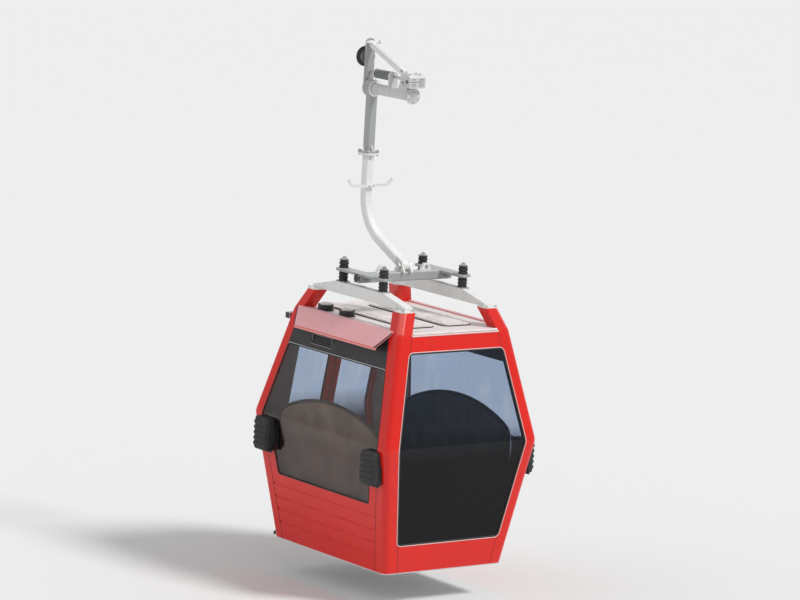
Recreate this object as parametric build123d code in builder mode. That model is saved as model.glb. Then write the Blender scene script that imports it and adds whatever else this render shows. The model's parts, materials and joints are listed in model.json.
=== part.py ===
# A cable car cabin with its hanger and its rope grip.
# X runs along the rope, +Y is the door side and Z is up. The origin lies on the rope's centre line.
import os
from build123d import *

os.makedirs("parts", exist_ok=True)

# Grip: the head and the swinging jaw that hold the rope
rope_radius = 20
jaw_half_length = 85
jaw_half_depth = 46
jaw_bottom = -54
jaw_parting = 2
jaw_pin_y = 100
jaw_pin_z = -26
jaw_pin_radius = 12
ear_gap = 2
ear_thickness = 24
head_depth = 120
head_top = 60
head_crown_near = -23
head_crown_far = 84
head_shoulder = 36
web_half_thickness = 30
web_near = 60
web_far = 150
web_foot = 210
web_shoulder = 48
casting_chamfer = 20

# Grip: the shaft that the hanger turns on, and the housing that carries it
pivot_y = 615
pivot_z = -128
housing_radius = 48
housing_cap_radius = 70
housing_cap = 22
shaft_radius = 30
shaft_nut_radius = 46
shaft_nut = 16
hub_radius = 75
hub_width = 90
hub_side_gap = 5
hub_play = 0.08

# Grip: the spring barrel on its rod
spring_z = 8
spring_rod_radius = 12
spring_rod_play = 0.3
spring_plate_y = 305
spring_plate = 20
spring_plate_margin = 40
barrel_radius = 44
barrel_length = 236
spring_nut_radius = 26
spring_nut = 18

# Grip: the outer bracket, the lever and the guide wheel
bracket_thickness = 26
bracket_half_width = 45
apex_z = 262
lever_foot_y = 140
lever_foot_z = 52
lever_width = 46
lever_depth = 52
crosspiece_half_length = 72
crosspiece_radius = 12
crosspiece_lift = 13
wheel_z = 140
wheel_radius = 90
wheel_width = 46
wheel_side_gap = 24
wheel_boss_radius = 32
wheel_web = 28
tyre_depth = 18
axle_radius = 15
axle_play = 0.08
axle_boss_radius = 28
axle_nut_radius = 24
axle_nut = 8
axle_side_gap = 3

# Hanger arm
arm_size = 80
arm_chamfer = 10
arm_bend_z = -1325
arm_round = 430
flange_z = -700
flange_size = 150
flange_corner = 20
flange_thickness = 16
pin_z = -1615
pin_radius = 18
pin_nut_radius = 29
pin_nut = 18
eye_radius = 42
eye_half_width = 32
eye_cheek_y = 67
step_z = -990
step_half_length = 185
step_rise = 55
step_bend = 45
step_width = 34
step_thickness = 18

# Hanger foot: a beam along the rope with a cross plate at each end, a yoke and two lugs
foot_top_z = -1665
foot_half_length = 500
foot_width = 90
foot_height = 80
foot_chamfer = 8
foot_plate = 20
foot_plate_width = 124
foot_plate_reach = 350
foot_plate_corner = 25
yoke_thickness = 14
yoke_foot = 81
yoke_crown = 30
pin_gap = 1
lug_x = 240
lug_bore = 12.5
lug_thickness = 30
lug_height = 62
lug_slope = 58

# Dampers: rubber below and above the cross plates, on a bolt
damper_y = 295
damper_radius = 42
damper_below = 100
damper_above = 80
damper_nut_radius = 24
damper_nut = 16
bolt_radius = 13
bolt_play = 0.3

# Body levels: each height is measured from the level beside it
arch_rise = 115
horn_height = 190
upper_height = 945
lower_height = 1115
beam_height = 145
header_height = 295
end_panel_height = 600
side_sill_height = 255
floor_height = 45
arch_top_z = foot_top_z - foot_plate - damper_below
horn_z = arch_top_z - arch_rise
top_z = horn_z - horn_height
beam_z = top_z - beam_height
header_z = top_z - header_height
belt_z = top_z - upper_height
bottom_z = belt_z - lower_height
end_sill_z = bottom_z + end_panel_height
side_sill_z = bottom_z + side_sill_height
floor_z = bottom_z + floor_height

# Half lengths along the rope and half widths across it, at bottom, belt, top and horn
end_reach = dict(bottom=640, belt=820, top=608, horn=525)
side_reach = dict(bottom=830, belt=1005, top=798, horn=716)
belt_round = 150
kink_round = 200
least_round = 5
corner_round = 60
wall = 45
post_width = 140
stile_width = 105
glass_thickness = 8
glass_inset = 6
groove_depth = 6
groove_width = 20
groove_first_z = end_sill_z - 100
groove_pitch = 115
groove_count = 4
floor_flange = 8

# Louvre in the end header
louvre_y = 240
louvre_width = 280
louvre_slots = 4
louvre_slot = 8
louvre_pitch = 19
louvre_top_z = beam_z - 27
louvre_depth = 18

# Roof
roof_thickness = 25
pad_x = 200
pad_length = 300
pad_width = 1150
pad_corner = 60
pad_height = 22
vent_x = -475
vent_places_y = (150, 470)
vent_radius = 68
vent_height = 52
apron_setback = 8
apron_flange = 45
apron_reach = 108
apron_drop = 137
apron_lip = 24
apron_thickness = 12
apron_half_width = 700
apron_corner = 105

# Arches that tie the horns of the posts
arch_x = 430
arch_width = 84
arch_top_half = 352
arch_tip = 26
arch_tip_margin = 40
cap_thickness = 12
cap_size = 146
cap_corner = 30

# Bumpers, a pair on each end
bumper_y = 800
bumper_width = 210
bumper_height = 300
bumper_z = belt_z - 170
bumper_reach = 88
bumper_crown = 34
bumper_root = 8

# Doors: leaves, top rail and bottom guide
doorway_half = 470
door_overlap = 30
door_meeting_gap = 4
door_gap = 12
door_thickness = 38
door_top_z = beam_z + 30
door_bottom_z = floor_z - 7
door_stile = 62
door_kick = 90
door_travel = 300
rail_height = 52
rail_depth = 62
rail_wall = 5
rail_lift = 12
rail_slot = 24
rail_end_room = 8
runner_near = 90
runner_away = 235
runner_half = 32
runner_play = 0.3
runner_head_gap = 6
neck_thickness = 10
neck_root = 12
head_thickness = 38
guide_lift = 10
guide_height = 30
guide_depth = 40
shoe_thickness = 12
shoe_root = 4
shoe_gap = 6

# Benches
seat_z = floor_z + 465
seat_depth = 400
back_foot_x = 668
back_lean = 40
back_top_z = seat_z + 840
back_arch = 190
back_corner = 90
board = 18
riser_x = 300
bench_gap = 6
bench_side_gap = 20
seat_pad = 60
back_pad = 45
pad_gap = 4
pad_nose = 12
pad_margin = 14

far = 1600
ends = {"rear": -1, "front": 1}
sides = {"window": -1, "door": 1}
levels = (bottom_z, belt_z, top_z, horn_z)


def reach_at(reach, z):
    """Half length or half width of the body at a height."""
    places = list(zip(levels, reach.values()))
    for (low, a), (high, b) in zip(places, places[1:]):
        if z <= high:
            return a + (b - a) * (z - low) / (high - low)
    return places[-1][1]


def body_outline(reach, inset):
    """Closed outline of the body seen from one side, with its belt and its kink rounded."""
    right = [(half - inset, z) for half, z in zip(reach.values(), levels)]
    left = [(-u, z) for u, z in reversed(right)]
    with BuildSketch() as outline:
        with BuildLine():
            Polyline(*right, *left, close=True)
        make_face()
        for z, radius in ((belt_z, belt_round), (top_z, kink_round)):
            corners = outline.vertices().filter_by_position(Axis.Y, z - 1, z + 1)
            fillet(corners, max(radius - inset, least_round))
    return outline.sketch


def hull(inset):
    """The body's closed form where two outlines cross, set in by a distance."""
    with BuildPart() as body:
        with BuildSketch(Plane.XZ):
            add(body_outline(end_reach, inset))
        extrude(amount=far, both=True)
        with BuildSketch(Plane.YZ):
            add(body_outline(side_reach, inset))
        extrude(amount=far, both=True, mode=Mode.INTERSECT)
    return body.part


def slab(reach, inset, plane):
    """The outline carried right through the body: what lies inside the posts."""
    with BuildPart() as block:
        with BuildSketch(plane):
            add(body_outline(reach, inset))
        extrude(amount=far, both=True)
    return block.part


def block_between(x, y, z):
    """A box from its two limits on each axis, in either order."""
    sizes = [abs(b - a) for a, b in (x, y, z)]
    centre = [(a + b) / 2 for a, b in (x, y, z)]
    return Pos(*centre) * Box(*sizes, mode=Mode.PRIVATE)


def chamfered(width, height, size):
    """A rectangle with its corners cut."""
    with BuildSketch() as outline:
        Rectangle(width, height)
        chamfer(outline.vertices(), size)
    return outline.sketch


def ring_stack(steps):
    """A turned piece from (radius, length) steps, standing on the origin."""
    with BuildPart() as turned:
        height = 0
        for radius, thickness in steps:
            with BuildSketch(Plane.XY.offset(height)):
                Circle(radius)
            extrude(amount=thickness)
            height += thickness
    return turned.part


def save(part, name):
    part.label = name
    export_step(part, f"parts/{name}.step")


# The body's wall, cut along the lines where its pieces meet
corner_x = end_reach["horn"] / 2
corner_y = side_reach["horn"] / 2
with BuildPart() as rounded_hull:
    add(hull(0))
    corner_edges = rounded_hull.edges().filter_by(
        lambda edge: abs(edge.center().X) > corner_x and abs(edge.center().Y) > corner_y)
    fillet(corner_edges, corner_round)
outer = rounded_hull.part
shell = outer - hull(wall)
glass_shell = hull(glass_inset) - hull(glass_inset + glass_thickness)
groove_skin = hull(0) - hull(groove_depth)
between_side_posts = slab(end_reach, post_width, Plane.XZ)
between_end_posts = slab(side_reach, post_width, Plane.YZ)
between_stiles = slab(side_reach, post_width + stile_width, Plane.YZ)


def end_wall(skin, end, low, high):
    """The stretch of an end wall between its posts and two heights."""
    stretch = block_between((0, end * far), (-far, far), (low, high))
    return skin & between_end_posts & stretch - between_side_posts


def side_wall(skin, side, low, high):
    """The stretch of a side wall between its posts and two heights."""
    stretch = block_between((-far, far), (0, side * far), (low, high))
    return skin & between_side_posts & stretch - between_end_posts


# Corner posts: an angle as thick as the wall that closes to a box above the roof, as a horn
posts = []
for end, x_sign in ends.items():
    for side, y_sign in sides.items():
        with BuildPart() as post:
            add(shell)
            add(outer & block_between((-far, far), (-far, far), (top_z, horn_z)))
            add(between_side_posts, mode=Mode.SUBTRACT)
            add(between_end_posts, mode=Mode.SUBTRACT)
            add(block_between((0, x_sign * far), (0, y_sign * far), (bottom_z, horn_z)), mode=Mode.INTERSECT)
        posts.append(post.part)
        save(post.part, f"post_{end}_{side}")

# End walls: header with a louvre, window, and a grooved panel with a stile up to each bumper
for end, x_sign in ends.items():
    header_face = reach_at(end_reach, louvre_top_z)
    with BuildPart() as end_header:
        add(end_wall(shell, x_sign, header_z, top_z))
        for i in range(louvre_slots):
            slot_top = louvre_top_z - i * louvre_pitch
            add(block_between((x_sign * (header_face - louvre_depth), x_sign * far),
                              (louvre_y - louvre_width / 2, louvre_y + louvre_width / 2),
                              (slot_top - louvre_slot, slot_top)), mode=Mode.SUBTRACT)
    save(end_header.part, f"end_header_{end}")
    with BuildPart() as stiles:
        add(end_wall(shell, x_sign, end_sill_z, bumper_z))
        add(between_stiles, mode=Mode.SUBTRACT)
    with BuildPart() as end_panel:
        add(end_wall(shell, x_sign, bottom_z, end_sill_z))
        for i in range(groove_count):
            z = groove_first_z - i * groove_pitch
            add(end_wall(groove_skin, x_sign, z - groove_width / 2, z + groove_width / 2), mode=Mode.SUBTRACT)
        add(stiles.part)
    save(end_panel.part, f"end_panel_{end}")
    with BuildPart() as end_window:
        add(end_wall(glass_shell, x_sign, end_sill_z, header_z))
        add(stiles.part, mode=Mode.SUBTRACT)
    save(end_window.part, f"end_window_{end}")

# Window side
save(side_wall(shell, -1, beam_z, top_z), "side_beam")
save(side_wall(glass_shell, -1, side_sill_z, beam_z), "side_window")
save(side_wall(shell, -1, bottom_z, side_sill_z), "side_sill")

# Door side
with BuildPart() as door_frame:
    add(side_wall(shell, 1, bottom_z, top_z))
    add(block_between((-doorway_half, doorway_half), (0, far), (floor_z, beam_z)), mode=Mode.SUBTRACT)
save(door_frame.part, "door_frame")

# Floor, with a flange that closes the walls from below
with BuildPart() as floor_pan:
    add(hull(wall) & block_between((-far, far), (-far, far), (bottom_z, floor_z)))
    with BuildSketch(Plane.XY.offset(bottom_z - floor_flange)):
        RectangleRounded(2 * end_reach["bottom"], 2 * side_reach["bottom"], corner_round)
    extrude(amount=floor_flange)
save(floor_pan.part, "floor_pan")

# Roof, with two raised pads, notched round the horns of the posts
roof_top = top_z + roof_thickness
with BuildPart() as roof:
    add(outer & block_between((-far, far), (-far, far), (top_z, roof_top)))
    for post in posts:
        add(post, mode=Mode.SUBTRACT)
    with BuildSketch(Plane.XY.offset(roof_top)):
        with Locations((-pad_x, 0), (pad_x, 0)):
            RectangleRounded(pad_length, pad_width, pad_corner)
    extrude(amount=pad_height)
save(roof.part, "roof_panel")

with BuildPart() as vents:
    with BuildSketch(Plane.XY.offset(roof_top)):
        with Locations(*[(vent_x, y) for y in vent_places_y]):
            Circle(vent_radius)
    extrude(amount=vent_height)
save(Compound(vents.solids()), "roof_vents")

# Sloped aprons over the ends, cut back at their lower corners
for end, x_sign in ends.items():
    roof_edge = end_reach["top"] - apron_setback
    inner_edge = roof_edge - apron_flange
    lip_x = end_reach["top"] + apron_reach
    lip_z = roof_top - apron_drop
    fold = apron_thickness / 3
    # x from the middle, z
    section = [(inner_edge, roof_top), (inner_edge, roof_top + apron_thickness),
               (roof_edge, roof_top + apron_thickness), (lip_x, lip_z), (lip_x, lip_z - apron_lip),
               (lip_x - apron_thickness, lip_z - apron_lip), (lip_x - apron_thickness, lip_z - fold),
               (roof_edge - fold, roof_top)]
    # x from the middle, y from the middle
    corner = [(lip_x - apron_corner, apron_half_width), (lip_x, apron_half_width - apron_corner),
              (far, apron_half_width - apron_corner), (far, far), (lip_x - apron_corner, far)]
    with BuildPart() as apron:
        with BuildSketch(Plane.XZ):
            with BuildLine():
                Polyline(*[(x_sign * x, z) for x, z in section], close=True)
            make_face()
        extrude(amount=apron_half_width, both=True)
        for y_sign in sides.values():
            with BuildSketch(Plane.XY.offset(lip_z - far)):
                with BuildLine():
                    Polyline(*[(x_sign * x, y_sign * y) for x, y in corner], close=True)
                make_face()
            extrude(amount=2 * far, mode=Mode.SUBTRACT)
        for post in posts:
            add(post, mode=Mode.SUBTRACT)
        add(roof.part, mode=Mode.SUBTRACT)
    save(apron.part, f"apron_{end}")


def crowned(near, away, half, crown):
    """A pad's outline from its root out to a bulging face, symmetric about its middle line."""
    with BuildSketch() as outline:
        with BuildLine():
            Polyline((away - crown, half), (near, half), (near, -half), (away - crown, -half))
            ThreePointArc((away - crown, -half), (away, 0), (away - crown, half))
        make_face()
    return outline.sketch


# Rubber bumpers at the belt of each end, bulging both ways
for end, x_sign in ends.items():
    root_x = reach_at(end_reach, bumper_z - bumper_height / 2) - bumper_root
    face_x = reach_at(end_reach, bumper_z) + bumper_reach
    pads = []
    for y_sign in sides.values():
        upright = Plane(origin=(0, y_sign * bumper_y, bumper_z), x_dir=(x_sign, 0, 0), z_dir=(0, -x_sign, 0))
        level = Plane(origin=(0, y_sign * bumper_y, bumper_z), x_dir=(x_sign, 0, 0), z_dir=(0, 0, x_sign))
        with BuildPart() as bumper:
            with BuildSketch(upright):
                add(crowned(root_x, face_x, bumper_height / 2, bumper_crown))
            extrude(amount=bumper_width / 2, both=True)
            with BuildSketch(level):
                add(crowned(root_x, face_x, bumper_width / 2, bumper_crown))
            extrude(amount=bumper_height / 2, both=True, mode=Mode.INTERSECT)
            add(outer, mode=Mode.SUBTRACT)
        pads += bumper.solids()
    save(Compound(pads), f"bumpers_{end}")

# Doors: each leaf hangs from a rail by two runners and is guided by two pins
rail_y = reach_at(side_reach, door_top_z) + door_gap + door_thickness / 2
guide_y = reach_at(side_reach, door_bottom_z) + door_gap + door_thickness / 2
leaf_outer = doorway_half + door_overlap
rail_bottom = door_top_z + rail_lift
rail_top = rail_bottom + rail_height
guide_top = door_bottom_z - guide_lift
guide_bottom = guide_top - guide_height
head_low = rail_bottom + rail_wall + runner_play
head_high = rail_top - rail_wall - runner_head_gap
rail_half_length = leaf_outer - runner_away + runner_half + door_travel + rail_end_room


def door_skin(low, high):
    """The form of the door side, between two distances out from the body."""
    return slab(side_reach, -high, Plane.YZ) - slab(side_reach, -low, Plane.YZ)


leaf_skin = door_skin(door_gap, door_gap + door_thickness)
pane_middle = door_gap + door_thickness / 2
pane_skin = door_skin(pane_middle - glass_thickness / 2, pane_middle + glass_thickness / 2)
for end, x_sign in ends.items():
    near, away = x_sign * door_meeting_gap, x_sign * leaf_outer
    pane = block_between((near + x_sign * door_stile, away - x_sign * door_stile), (0, far),
                         (door_bottom_z + door_kick, door_top_z - door_stile))
    with BuildPart() as leaf:
        add(leaf_skin & block_between((near, away), (0, far), (door_bottom_z, door_top_z)))
        add(pane, mode=Mode.SUBTRACT)
        for x in (near + x_sign * runner_near, away - x_sign * runner_away):
            along = (x - runner_half, x + runner_half)
            add(block_between(along, (rail_y - neck_thickness / 2, rail_y + neck_thickness / 2),
                              (door_top_z - neck_root, rail_bottom + rail_height / 2)))
            add(block_between(along, (rail_y - head_thickness / 2, rail_y + head_thickness / 2),
                              (head_low, head_high)))
            add(block_between(along, (guide_y - shoe_thickness / 2, guide_y + shoe_thickness / 2),
                              (guide_bottom + rail_wall + shoe_gap, door_bottom_z + shoe_root)))
    save(leaf.part, f"door_leaf_{end}")
    save(pane_skin & pane, f"door_glass_{end}")

with BuildPart() as rail:
    with BuildSketch(Plane.YZ):
        with Locations((rail_y, rail_bottom + rail_height / 2)):
            Rectangle(rail_depth, rail_height)
            Rectangle(rail_depth - 2 * rail_wall, rail_height - 2 * rail_wall, mode=Mode.SUBTRACT)
        with Locations((rail_y, rail_bottom)):
            Rectangle(rail_slot, 4 * rail_wall, mode=Mode.SUBTRACT)
    extrude(amount=rail_half_length, both=True)
    add(block_between((-doorway_half, doorway_half), (rail_y - rail_depth, rail_y - rail_depth / 2),
                      (rail_bottom, rail_top)))
    add(outer, mode=Mode.SUBTRACT)
save(rail.part, "door_rail")

with BuildPart() as guide:
    with BuildSketch(Plane.YZ):
        with Locations((guide_y, guide_top - guide_height / 2)):
            Rectangle(guide_depth, guide_height)
        with Locations((guide_y, guide_top - guide_height / 2 + rail_wall)):
            Rectangle(guide_depth - 2 * rail_wall, guide_height, mode=Mode.SUBTRACT)
    extrude(amount=rail_half_length, both=True)
    add(block_between((-doorway_half, doorway_half), (guide_y - guide_depth, guide_y - guide_depth / 2),
                      (guide_bottom, guide_top)))
    add(outer, mode=Mode.SUBTRACT)
    add(floor_pan.part, mode=Mode.SUBTRACT)
save(guide.part, "door_guide")

# Benches facing each other: a moulded shell with a seat pad and a back pad
bench_space = hull(wall + bench_gap)
bench_half = side_reach["bottom"] - wall - bench_side_gap


def back_outline(z_low, z_top, half):
    """A back's outline seen along the rope, with an arched top and round shoulders."""
    with BuildSketch() as outline:
        with BuildLine():
            Polyline((-half, z_top - back_arch), (-half, z_low), (half, z_low), (half, z_top - back_arch))
            ThreePointArc((half, z_top - back_arch), (0, z_top), (-half, z_top - back_arch))
        make_face()
        fillet(outline.vertices().group_by(Axis.Y)[-1], back_corner)
    return outline.sketch


def leaning_slab(x_sign, start, thickness):
    """A slab that leans as the bench's back does."""
    rise = back_top_z - seat_z
    foot = back_foot_x - start
    # x from the middle, z
    section = [(foot, seat_z), (foot + back_lean, seat_z + rise),
               (foot + back_lean - thickness, seat_z + rise), (foot - thickness, seat_z)]
    with BuildPart() as lean:
        with BuildSketch(Plane.XZ):
            with BuildLine():
                Polyline(*[(x_sign * x, z) for x, z in section], close=True)
            make_face()
        extrude(amount=bench_half, both=True)
    return lean.part


bench_across = (-bench_half, bench_half)
for end, x_sign in ends.items():
    with BuildPart() as bench:
        add(block_between((x_sign * back_foot_x, x_sign * (back_foot_x - seat_depth)), bench_across,
                          (seat_z - board, seat_z)))
        add(block_between((x_sign * riser_x, x_sign * (riser_x + board)), bench_across,
                          (floor_z, seat_z - board)))
        add(leaning_slab(x_sign, 0, board))
        with BuildSketch(Plane.YZ.offset(-far)):
            add(back_outline(floor_z, back_top_z, bench_half))
        extrude(amount=2 * far, mode=Mode.INTERSECT)
        add(bench_space, mode=Mode.INTERSECT)
    save(bench.part, f"bench_{end}")
    with BuildPart() as seat:
        add(block_between((x_sign * (back_foot_x - board - back_pad - pad_gap),
                           x_sign * (back_foot_x - seat_depth - pad_nose)),
                          (pad_margin - bench_half, bench_half - pad_margin), (seat_z, seat_z + seat_pad)))
        add(bench_space, mode=Mode.INTERSECT)
    save(seat.part, f"seat_pad_{end}")
    with BuildPart() as back:
        add(leaning_slab(x_sign, board, back_pad))
        with BuildSketch(Plane.YZ.offset(-far)):
            add(back_outline(seat_z + seat_pad + pad_gap, back_top_z - pad_margin, bench_half - pad_margin))
        extrude(amount=2 * far, mode=Mode.INTERSECT)
        add(bench_space, mode=Mode.INTERSECT)
    save(back.part, f"back_pad_{end}")

# Arches that tie the horns and carry the hanger's foot
cap_x = end_reach["horn"] - cap_size / 2
cap_y = side_reach["horn"] - cap_size / 2
cap_top = horn_z + cap_thickness
tip_y = cap_y + arch_tip_margin
tip_top = cap_top + arch_tip
damper_places = [(x * arch_x, y * damper_y) for x in ends.values() for y in sides.values()]
for end, x_sign in ends.items():
    with BuildPart() as arch:
        with BuildSketch(Plane.YZ.offset(x_sign * arch_x - arch_width / 2)):
            with BuildLine():
                Polyline((-tip_y, cap_top), (-tip_y, tip_top), (-arch_top_half, arch_top_z),
                         (arch_top_half, arch_top_z), (tip_y, tip_top), (tip_y, cap_top), close=True)
            make_face()
        extrude(amount=arch_width)
        with BuildSketch(Plane.XY.offset(horn_z)):
            with Locations((x_sign * cap_x, -cap_y), (x_sign * cap_x, cap_y)):
                add(chamfered(cap_size, cap_size, cap_corner))
        extrude(amount=cap_thickness)
    save(arch.part, f"roof_arch_{end}")

plate_bottom = foot_top_z - foot_plate
damper_nut_z = plate_bottom + foot_plate + damper_above
with BuildPart() as dampers:
    for x, y in damper_places:
        add(Pos(x, y, arch_top_z) * ring_stack([
            (damper_radius, damper_below), (bolt_radius, foot_plate), (damper_radius, damper_above)]))
    with BuildSketch(Plane.XY.offset(damper_nut_z)):
        with Locations(*damper_places):
            RegularPolygon(damper_nut_radius, 6)
    extrude(amount=damper_nut)
save(Compound(dampers.solids()), "dampers")

with BuildPart() as foot:
    with BuildSketch(Plane.YZ):
        with Locations((0, foot_top_z - foot_height / 2)):
            add(chamfered(foot_width, foot_height, foot_chamfer))
    extrude(amount=foot_half_length, both=True)
    with BuildSketch(Plane.XY.offset(plate_bottom)):
        with Locations((-arch_x, 0), (arch_x, 0)):
            add(chamfered(foot_plate_width, 2 * foot_plate_reach, foot_plate_corner))
    extrude(amount=foot_plate)
    with Locations(*[(x, y, foot_top_z) for x, y in damper_places]):
        Hole(bolt_radius + bolt_play, depth=foot_plate)
save(foot.part, "foot_beam")

crown_z = pin_z + yoke_crown
with BuildPart() as yoke:
    for x_sign in ends.values():
        with BuildSketch(Plane.YZ.offset(x_sign * (eye_half_width + pin_gap))):
            with BuildLine():
                Polyline((-yoke_foot, foot_top_z), (-eye_radius, pin_z), (-yoke_crown, crown_z),
                         (yoke_crown, crown_z), (eye_radius, pin_z), (yoke_foot, foot_top_z), close=True)
            make_face()
            with Locations((0, pin_z)):
                Circle(pin_radius, mode=Mode.SUBTRACT)
        extrude(amount=x_sign * yoke_thickness)
save(Compound(yoke.solids()), "foot_yoke")

pin_half = eye_half_width + pin_gap + yoke_thickness
with BuildPart() as foot_pin:
    with BuildSketch(Plane.YZ.offset(-pin_half)):
        with Locations((0, pin_z)):
            Circle(pin_radius)
    extrude(amount=2 * pin_half)
    for x_sign in ends.values():
        with BuildSketch(Plane.YZ.offset(x_sign * pin_half)):
            with Locations((0, pin_z)):
                RegularPolygon(pin_nut_radius, 6)
        extrude(amount=x_sign * pin_nut)
save(foot_pin.part, "foot_pin")

# Lugs for the bars that space the cabins of a group
with BuildPart() as lugs:
    with BuildSketch(Plane.XZ.offset(-lug_thickness / 2)):
        with Locations((-lug_x, foot_top_z + lug_height / 2), (lug_x, foot_top_z + lug_height / 2)):
            Trapezoid(2 * lug_height, lug_height, lug_slope)
            Circle(lug_bore, mode=Mode.SUBTRACT)
    extrude(amount=lug_thickness)
save(Compound(lugs.solids()), "spacer_lugs")


# The hanger arm, in two pieces that meet at a flange
with BuildPart() as hanger_upper:
    with BuildSketch(Plane.XY.offset(flange_z)):
        with Locations((0, pivot_y)):
            add(chamfered(arm_size, arm_size, arm_chamfer))
    extrude(amount=pivot_z - flange_z)
    with BuildSketch(Plane.XY.offset(flange_z)):
        with Locations((0, pivot_y)):
            add(chamfered(flange_size, flange_size, flange_corner))
    extrude(amount=flange_thickness)
    with BuildSketch(Plane.XZ.offset(-(pivot_y + hub_width / 2))):
        with Locations((0, pivot_z)):
            Circle(hub_radius)
    extrude(amount=hub_width)
    with BuildSketch(Plane.XZ.offset(-(pivot_y + hub_width))):
        with Locations((0, pivot_z)):
            Circle(shaft_radius + hub_play)
    extrude(amount=2 * hub_width, mode=Mode.SUBTRACT)
save(hanger_upper.part, "hanger_upper")

with BuildPart() as hanger_lower:
    with BuildLine() as bent_route:
        FilletPolyline((0, pivot_y, flange_z - flange_thickness), (0, pivot_y, arm_bend_z), (0, 0, pin_z),
                       radius=arm_round)
    with BuildSketch(Plane(origin=bent_route.line @ 0, x_dir=(1, 0, 0), z_dir=bent_route.line % 0)):
        add(chamfered(arm_size, arm_size, arm_chamfer))
    sweep(path=bent_route.line)
    with BuildSketch(Plane.XY.offset(flange_z - flange_thickness)):
        with Locations((0, pivot_y)):
            add(chamfered(flange_size, flange_size, flange_corner))
    extrude(amount=flange_thickness)
    for x_sign in ends.values():
        add(block_between((x_sign * eye_half_width, x_sign * far), (-far, eye_cheek_y), (-2 * far, 0)),
            mode=Mode.SUBTRACT)
    with BuildSketch(Plane.YZ.offset(-eye_half_width)):
        with Locations((0, pin_z)):
            Circle(eye_radius)
    extrude(amount=2 * eye_half_width)
    with BuildSketch(Plane.YZ.offset(-far)):
        with Locations((0, pin_z)):
            Circle(pin_radius)
    extrude(amount=2 * far, mode=Mode.SUBTRACT)
save(hanger_lower.part, "hanger_lower")

# Foot step across the arm, with its ends turned up
with BuildPart() as foot_step:
    with BuildSketch(Plane.XZ.offset(-(pivot_y - arm_size / 2))):
        with BuildLine():
            FilletPolyline((-step_half_length - step_rise, step_z + step_rise), (-step_half_length, step_z),
                           (step_half_length, step_z), (step_half_length + step_rise, step_z + step_rise),
                           radius=step_bend)
        trace(line_width=step_thickness)
    extrude(amount=step_width)
save(foot_step.part, "foot_step")

# The grip's casting: a head over the rope, a web, and the housing of the hanger's shaft
housing_end = pivot_y - hub_width / 2 - hub_side_gap
bracket_y = pivot_y + hub_width / 2 + hub_side_gap
bracket_face = bracket_y + bracket_thickness
with BuildPart() as grip_body:
    with BuildSketch(Plane.YZ.offset(-jaw_half_length)):
        with BuildLine():
            Polyline((-jaw_half_depth, jaw_parting), (-jaw_half_depth, head_shoulder),
                     (head_crown_near, head_top), (head_crown_far, head_top),
                     (head_depth, jaw_parting), close=True)
        make_face()
    extrude(amount=2 * jaw_half_length)
    with BuildSketch(Plane.YZ.offset(-web_half_thickness)):
        with BuildLine():
            Polyline((web_near, pivot_z), (web_near, jaw_parting), (head_crown_far, head_top),
                     (web_far, web_shoulder), (web_foot, pivot_z), close=True)
        make_face()
    extrude(amount=2 * web_half_thickness)
    for radius, length in ((housing_radius, housing_end), (housing_cap_radius, housing_cap)):
        with BuildSketch(Plane.XZ):
            with Locations((0, pivot_z)):
                Circle(radius)
        extrude(amount=-length)
    with BuildSketch(Plane.XZ.offset(-spring_plate_y)):
        with Locations((0, (spring_z + pivot_z) / 2)):
            add(chamfered(2 * barrel_radius, spring_z - pivot_z + 2 * spring_plate_margin, casting_chamfer))
    extrude(amount=-spring_plate)
    with BuildSketch(Plane.XZ.offset(-spring_plate_y)):
        with Locations((0, spring_z)):
            Circle(spring_rod_radius + spring_rod_play)
    extrude(amount=-spring_plate, mode=Mode.SUBTRACT)
    for centre, radius in (((0, 0), rope_radius), ((jaw_pin_y, jaw_pin_z), jaw_pin_radius)):
        with BuildSketch(Plane.YZ.offset(-far)):
            with Locations(centre):
                Circle(radius)
        extrude(amount=2 * far, mode=Mode.SUBTRACT)
save(grip_body.part, "grip_body")

# The jaw under the rope, with an ear each side of the web, on its pin
ear_inside = web_half_thickness + ear_gap
ear_outside = ear_inside + ear_thickness
jaw_height = (jaw_bottom, -jaw_parting)
with BuildPart() as grip_jaw:
    add(block_between((-jaw_half_length, jaw_half_length), (-jaw_half_depth, jaw_half_depth), jaw_height))
    for x_sign in ends.values():
        add(block_between((x_sign * ear_inside, x_sign * ear_outside), (0, jaw_pin_y), jaw_height))
        with BuildSketch(Plane.YZ.offset(x_sign * ear_inside)):
            with Locations((jaw_pin_y, jaw_pin_z)):
                Circle(jaw_pin_z - jaw_bottom - jaw_parting)
        extrude(amount=x_sign * ear_thickness)
    with BuildSketch(Plane.YZ.offset(-ear_outside)):
        with Locations((jaw_pin_y, jaw_pin_z)):
            Circle(jaw_pin_radius)
    extrude(amount=2 * ear_outside)
    with BuildSketch(Plane.YZ.offset(-far)):
        Circle(rope_radius)
    extrude(amount=2 * far, mode=Mode.SUBTRACT)
save(grip_jaw.part, "grip_jaw")

# Spring barrel on a rod, from the web through the housing's plate to the bracket
spring_start = spring_plate_y + spring_plate
nut_y = spring_start + barrel_length
# radius, start and end along y
barrel_steps = [(spring_rod_radius, web_foot, bracket_y), (barrel_radius, spring_start, nut_y)]
with BuildPart() as spring:
    for radius, start, stop in barrel_steps:
        with BuildSketch(Plane.XZ.offset(-start)):
            with Locations((0, spring_z)):
                Circle(radius)
        extrude(amount=start - stop)
    with BuildSketch(Plane.XZ.offset(-nut_y)):
        with Locations((0, spring_z)):
            RegularPolygon(spring_nut_radius, 6)
    extrude(amount=-spring_nut)
save(spring.part, "grip_spring")

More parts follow.
